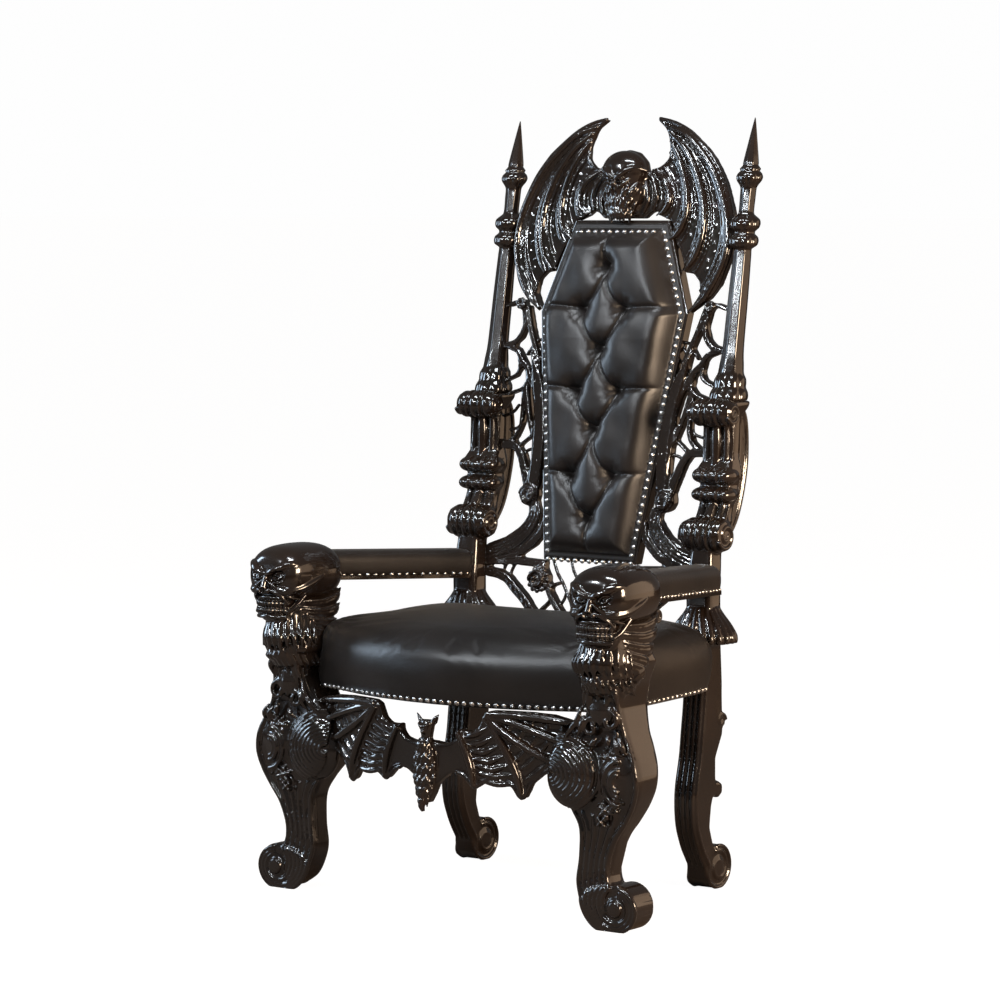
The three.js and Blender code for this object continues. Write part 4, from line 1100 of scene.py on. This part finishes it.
def make_arm_pads(leather):
    right = remesh(new_object("right_arm_leather", node_copy("right_arm_pad")), 0.0045, 12)
    shade_smooth(right.data)
    for o in finish_both(right, leather, "black_leather", "right_arm_pad"):
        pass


class Studs:
    """Rows of domed nail heads, each set on the surface that a ray finds."""

    def __init__(self, *targets):
        self.dome = unit_form(bmesh.ops.create_uvsphere, u_segments=12, v_segments=8, radius=1.0)
        self.points = []
        self.faces = []
        self.trees = [BVHTree.FromObject(t, bpy.context.evaluated_depsgraph_get()) for t in targets]

    def set(self, origin, way):
        hits = [t.ray_cast(Vector(origin), Vector(way).normalized(), 0.3) for t in self.trees]
        hits = [h for h in hits if h[0] is not None]
        if not hits:
            return
        spot, normal, _, _ = min(hits, key=lambda h: h[3])
        if normal.dot(Vector(way)) > 0:
            normal = -normal
        r = sizes().nail_radius
        place = Matrix.Translation(spot) @ normal.to_track_quat("Z", "Y").to_matrix().to_4x4()
        m = np.array(place @ Matrix.Diagonal((r, r, r * 0.72, 1)))
        points, faces = self.dome
        start = len(self.points) * len(points)
        self.points.append(points @ m[:3, :3].T + m[:3, 3])
        self.faces.extend([[i + start for i in f] for f in faces])

    def row(self, points, step, way):
        line = smooth_line(points, 0.001)
        gone = np.concatenate([[0], np.cumsum(np.linalg.norm(np.diff(line, axis=0), axis=1))])
        count = max(1, round(gone[-1] / step))
        for i in range(count + 1):
            p = [np.interp(gone[-1] * i / count, gone, line[:, k]) for k in range(3)]
            self.set(p, way)

    def done(self, name, material):
        mesh = bpy.data.meshes.new(name)
        mesh.from_pydata(np.vstack(self.points), [], self.faces)
        shade_smooth(mesh)
        return finish_piece(new_object(name, mesh), material, "lacquered_wood")


def make_nails(nickel):
    step = sizes().nail_step
    studs = Studs(bpy.data.objects["seat_leather"])
    front = [seat(x, -0.066 + 0.086 * (x / 0.352) ** 2 - 0.05, 0.487) for x in np.linspace(-0.392, 0.392, 9)]
    studs.row(front, step * 0.985, (0, 1, 0))
    for m in (-1, 1):
        side = [seat(m * 0.480, y, 0.487) for y in (0.135, 0.26, 0.38, 0.500)]
        studs.row(side, step * 1.049, (-m, 0, 0))
    studs.done("seat_nails", nickel)

    studs = Studs(bpy.data.objects["right_arm_leather"])
    for f, x0, x1 in ((-1, 0.414, 0.312), (1, 0.501, 0.398)):
        line = [seat(x0 + (x1 - x0) * t + f * 0.03, 0.112 + 0.424 * t, 0.7385 - 0.022 * t)
                for t in (0, 0.33, 0.66, 1.0)]
        studs.row(line, step * 1.195, (-f, 0, 0))
    right = studs.done("right_arm_nails", nickel)
    finish_piece(mirrored(right, "left_arm_nails"), nickel, "lacquered_wood")

    studs = Studs(bpy.data.objects["coffin_leather"], bpy.data.objects["coffin_frame"])
    inset = 0.0160
    into = (0, 1, -LEAN)
    for m in (-1, 1):
        studs.row([back(m * (coffin_half(z) - inset * 1.02), z, -0.09)
                   for z in np.linspace(COFFIN[0][1] + inset, COFFIN[2][1] - inset, 40)], step, into)
    for z, w in ((COFFIN[2][1] - inset, 0.106), (COFFIN[0][1] + inset, 0.102)):
        studs.row([back(x, z, -0.09) for x in np.linspace(-w, w, 4)], step, into)
    studs.done("coffin_nails", nickel)


def mixed(tree, top, share, base):
    """The base with a share of the top added to it."""
    node = tree.nodes.new("ShaderNodeMath")
    node.operation = "MULTIPLY_ADD"
    node.inputs[1].default_value = share
    tree.links.new(top, node.inputs[0])
    tree.links.new(base, node.inputs[2])
    return node.outputs[0]


def mottle_group():
    """Broad and fine variation used by every finish: a mask and a height."""
    g = bpy.data.node_groups.new("mottle", "ShaderNodeTree")
    for name, way, value in (("Broad scale", "INPUT", 9.0), ("Fine scale", "INPUT", 90.0),
                             ("Mask", "OUTPUT", 0.0), ("Height", "OUTPUT", 0.0)):
        g.interface.new_socket(name, in_out=way, socket_type="NodeSocketFloat").default_value = value
    n, link = g.nodes, g.links.new
    source, sink = n.new("NodeGroupInput"), n.new("NodeGroupOutput")
    coords = n.new("ShaderNodeTexCoord")
    broad, fine = n.new("ShaderNodeTexNoise"), n.new("ShaderNodeTexNoise")
    for noise, socket in ((broad, "Broad scale"), (fine, "Fine scale")):
        link(coords.outputs["Object"], noise.inputs["Vector"])
        link(source.outputs[socket], noise.inputs["Scale"])
        noise.inputs["Detail"].default_value = 4.0
    link(broad.outputs["Fac"], sink.inputs["Mask"])
    link(mixed(g, fine.outputs["Fac"], 0.35, broad.outputs["Fac"]), sink.inputs["Height"])
    return g


def finish(name, mottle, scales, colours, rough, **constants):
    """A Principled material whose colour and roughness wander with the mottle: its tree and the height."""
    mat = bpy.data.materials.new(name)
    mat.use_nodes = True
    tree = mat.node_tree
    n, link = tree.nodes, tree.links.new
    shader = n["Principled BSDF"]
    for key, value in constants.items():
        shader.inputs[key.replace("_", " ")].default_value = value
    m = n.new("ShaderNodeGroup")
    m.node_tree = mottle
    m.inputs["Broad scale"].default_value, m.inputs["Fine scale"].default_value = scales
    ramp = n.new("ShaderNodeValToRGB")
    for e, spot, colour in zip(ramp.color_ramp.elements, (0.32, 0.70), colours):
        e.position = spot
        e.color = (*colour, 1)
    link(m.outputs["Mask"], ramp.inputs["Fac"])
    link(ramp.outputs["Color"], shader.inputs["Base Color"])
    span = n.new("ShaderNodeMapRange")
    span.inputs["To Min"].default_value, span.inputs["To Max"].default_value = rough
    link(m.outputs["Height"], span.inputs["Value"])
    link(span.outputs["Result"], shader.inputs["Roughness"])
    return tree, m.outputs["Height"]


def relief(tree, height, strength, distance):
    """Feeds a height to the finish as a bump."""
    bump = tree.nodes.new("ShaderNodeBump")
    bump.inputs["Strength"].default_value = strength
    bump.inputs["Distance"].default_value = distance
    tree.links.new(height, bump.inputs["Height"])
    tree.links.new(bump.outputs["Normal"], tree.nodes["Principled BSDF"].inputs["Normal"])


def tinted(colour, share):
    return tuple(c * share for c in colour)


def make_materials():
    s = sizes()
    mottle = mottle_group()
    tree, height = finish("espresso lacquer", mottle, (6.0, 45.0), (s.lacquer, tinted(s.lacquer, 2.1)),
                          (0.10, 0.20), Coat_Weight=0.8, Coat_Roughness=0.05)
    n, link = tree.nodes, tree.links.new
    coords, stretch, grain = (n.new("ShaderNodeTexCoord"), n.new("ShaderNodeMapping"),
                              n.new("ShaderNodeTexNoise"))
    stretch.inputs["Scale"].default_value = (60, 60, 5)
    grain.inputs["Scale"].default_value = 6.0
    link(coords.outputs["Object"], stretch.inputs["Vector"])
    link(stretch.outputs["Vector"], grain.inputs["Vector"])
    relief(tree, mixed(tree, grain.outputs["Fac"], 0.25, height), 0.25, 0.0012)

    tree, height = finish("black leather", mottle, (5.0, 30.0), (s.leather, tinted(s.leather, 1.8)),
                          (0.25, 0.37), Specular_IOR_Level=0.50, Sheen_Weight=0.05, Sheen_Roughness=0.4)
    coords, cells = tree.nodes.new("ShaderNodeTexCoord"), tree.nodes.new("ShaderNodeTexVoronoi")
    cells.inputs["Scale"].default_value = 620.0
    tree.links.new(coords.outputs["Object"], cells.inputs["Vector"])
    relief(tree, mixed(tree, cells.outputs["Distance"], 0.5, height), 0.35, 0.0009)

    tree, height = finish("nickel nails", mottle, (60.0, 700.0), (tinted(s.nickel, 0.8), s.nickel),
                          (0.16, 0.34), Metallic=1.0)
    relief(tree, height, 0.2, 0.0003)


def material(name):
    found = bpy.data.materials.get(name)
    if found is None:
        raise RuntimeError("missing material " + name)
    return found


COOL, BLUE = (0.88, 0.94, 1.0), (0.66, 0.82, 1.0)
LIGHTS = [  # name, place, aimed-at height, width and height, power, colour
    ("left softbox", (-2.3, -4.9, 4.3), 1.0, (0.42, 0.42), 110, COOL),
    ("middle softbox", (-0.6, -5.7, 4.0), 1.0, (0.36, 0.36), 85, COOL),
    ("right softbox", (1.3, -5.6, 3.5), 1.0, (0.36, 0.36), 70, COOL),
    ("top strip", (0.6, -1.2, 4.4), 0.8, (1.8, 0.35), 80, COOL),
    ("low card", (-4.6, -4.0, 0.8), 0.5, (1.0, 0.8), 12, BLUE),
    ("cool window", (-4.6, -1.6, 2.2), 1.1, (1.0, 2.2), 85, BLUE),
    ("warm wall", (4.8, 3.2, 1.5), 0.9, (6.5, 4.4), 90, (1.0, 0.68, 0.44)),
    ("warm lamp", (4.8, -0.6, 1.9), 0.8, (1.4, 1.4), 270, (1.0, 0.76, 0.54)),
]
FLOOR_REACH = 500
FLOOR_GLOW = 0.97
WORLD_GLOW = (0.10, 0.99)


def area_light(name, place, aim, size, power, colour):
    light = bpy.data.lights.new(name, "AREA")
    light.shape = "RECTANGLE"
    light.size, light.size_y = size
    light.energy = power
    light.color = colour
    o = new_object(name, light)
    o.location = place
    o.rotation_euler = (Vector((0, 0, aim)) - Vector(place)).to_track_quat("-Z", "Y").to_euler()


def make_stage():
    bm = bmesh.new()
    bmesh.ops.create_grid(bm, x_segments=2, y_segments=2, size=FLOOR_REACH)
    floor = object_of("floor", bm)
    pale = bpy.data.materials.new("pale floor")
    pale.use_nodes = True
    tree = pale.node_tree
    shader = tree.nodes["Principled BSDF"]
    for key, value in (("Base Color", (0.16, 0.13, 0.11, 1)), ("Roughness", 0.9),
                       ("Specular IOR Level", 0.1), ("Emission Color", (1, 1, 1, 1))):
        shader.inputs[key].default_value = value
    path, glow = tree.nodes.new("ShaderNodeLightPath"), tree.nodes.new("ShaderNodeMath")
    glow.operation = "MULTIPLY"
    glow.inputs[1].default_value = FLOOR_GLOW
    tree.links.new(path.outputs["Is Camera Ray"], glow.inputs[0])
    tree.links.new(glow.outputs[0], shader.inputs["Emission Strength"])
    floor.data.materials.append(pale)

    world = bpy.data.worlds.new("studio")
    bpy.context.scene.world = world
    world.use_nodes = True
    tree = world.node_tree
    path, pick = tree.nodes.new("ShaderNodeLightPath"), tree.nodes.new("ShaderNodeMix")
    pick.inputs["A"].default_value, pick.inputs["B"].default_value = WORLD_GLOW
    tree.links.new(path.outputs["Is Camera Ray"], pick.inputs["Factor"])
    tree.links.new(pick.outputs["Result"], tree.nodes["Background"].inputs["Strength"])
    tree.nodes["Background"].inputs["Color"].default_value = (1, 1, 1, 1)
    for row in LIGHTS:
        area_light(*row)

    camera = bpy.data.cameras.new("camera")
    camera.sensor_width = 36.0
    camera.lens = 137.35
    o = new_object("camera", camera)
    o.location = (5.217, -7.003 - SHIFT, 1.615)
    o.rotation_euler = (math.radians(90 - 4.39), 0, math.radians(35.9))
    bpy.context.scene.camera = o
    bpy.context.scene.view_settings.view_transform = "Standard"


def dress_rails():
    """Gives the frame's own rails their finishes."""
    for name, finish_name in (("front_rail", "black leather"), ("back_rail", "espresso lacquer"),
                              ("left_side_rail", "black leather"), ("right_side_rail", "black leather"),
                              ("left_arm_rail", "espresso lacquer"), ("right_arm_rail", "espresso lacquer")):
        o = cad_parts[name]
        if not o.material_slots:
            o.data.materials.append(None)
        for s in o.material_slots:
            s.material = material(finish_name)


class THRONE_OT_materials(bpy.types.Operator):
    """Make the lacquer, leather and nickel"""
    bl_idname = "throne.materials"
    bl_label = "Materials"

    def execute(self, context):
        make_materials()
        return {"FINISHED"}


class THRONE_OT_front_posts(bpy.types.Operator):
    """Carve the two front posts"""
    bl_idname = "throne.front_posts"
    bl_label = "Front posts"

    def execute(self, context):
        make_front_posts(material("espresso lacquer"))
        return {"FINISHED"}


class THRONE_OT_back_posts(bpy.types.Operator):
    """Carve the two back posts and the spears on them"""
    bl_idname = "throne.back_posts"
    bl_label = "Back posts"

    def execute(self, context):
        make_back_posts(material("espresso lacquer"))
        make_spears(material("espresso lacquer"))
        return {"FINISHED"}


class THRONE_OT_back(bpy.types.Operator):
    """Carve the web, the coffin's frame and the bat crest"""
    bl_idname = "throne.back"
    bl_label = "Back"

    def execute(self, context):
        make_web(material("espresso lacquer"))
        make_board(material("espresso lacquer"))
        make_crest(material("espresso lacquer"))
        return {"FINISHED"}


class THRONE_OT_apron(bpy.types.Operator):
    """Carve the bat apron and finish the rails"""
    bl_idname = "throne.apron"
    bl_label = "Apron"

    def execute(self, context):
        make_apron(material("espresso lacquer"))
        dress_rails()
        return {"FINISHED"}


class THRONE_OT_leather(bpy.types.Operator):
    """Upholster the coffin, the seat and the arms"""
    bl_idname = "throne.leather"
    bl_label = "Leather"

    def execute(self, context):
        leather = material("black leather")
        make_coffin_pad(leather)
        make_buttons(leather)
        make_seat(leather)
        make_arm_pads(leather)
        return {"FINISHED"}


class THRONE_OT_nails(bpy.types.Operator):
    """Set the rows of nail heads"""
    bl_idname = "throne.nails"
    bl_label = "Nails"

    def execute(self, context):
        make_nails(material("nickel nails"))
        return {"FINISHED"}


class THRONE_OT_stage(bpy.types.Operator):
    """Set the floor, the lights and the camera"""
    bl_idname = "throne.stage"
    bl_label = "Stage"

    def execute(self, context):
        make_stage()
        return {"FINISHED"}


STEPS = (THRONE_OT_materials, THRONE_OT_front_posts, THRONE_OT_back_posts, THRONE_OT_back, THRONE_OT_apron,
         THRONE_OT_leather, THRONE_OT_nails, THRONE_OT_stage)


class THRONE_PT_panel(bpy.types.Panel):
    """The throne's sizes and steps"""
    bl_label = "Throne"
    bl_idname = "THRONE_PT_panel"
    bl_space_type = "VIEW_3D"
    bl_region_type = "UI"
    bl_category = "Throne"

    def draw(self, context):
        for key in ThroneSizes.__annotations__:
            self.layout.prop(context.scene.throne, key)
        for step in STEPS:
            self.layout.operator(step.bl_idname)


CLASSES = (ThroneSizes,) + STEPS + (THRONE_PT_panel,)


def register():
    for c in CLASSES:
        bpy.utils.register_class(c)
    bpy.types.Scene.throne = bpy.props.PointerProperty(type=ThroneSizes)


def unregister():
    del bpy.types.Scene.throne
    for c in reversed(CLASSES):
        bpy.utils.unregister_class(c)


def main():
    register()
    for step in STEPS:
        group, name = step.bl_idname.split(".")
        getattr(getattr(bpy.ops, group), name)()


if __name__ == "__main__":
    main()
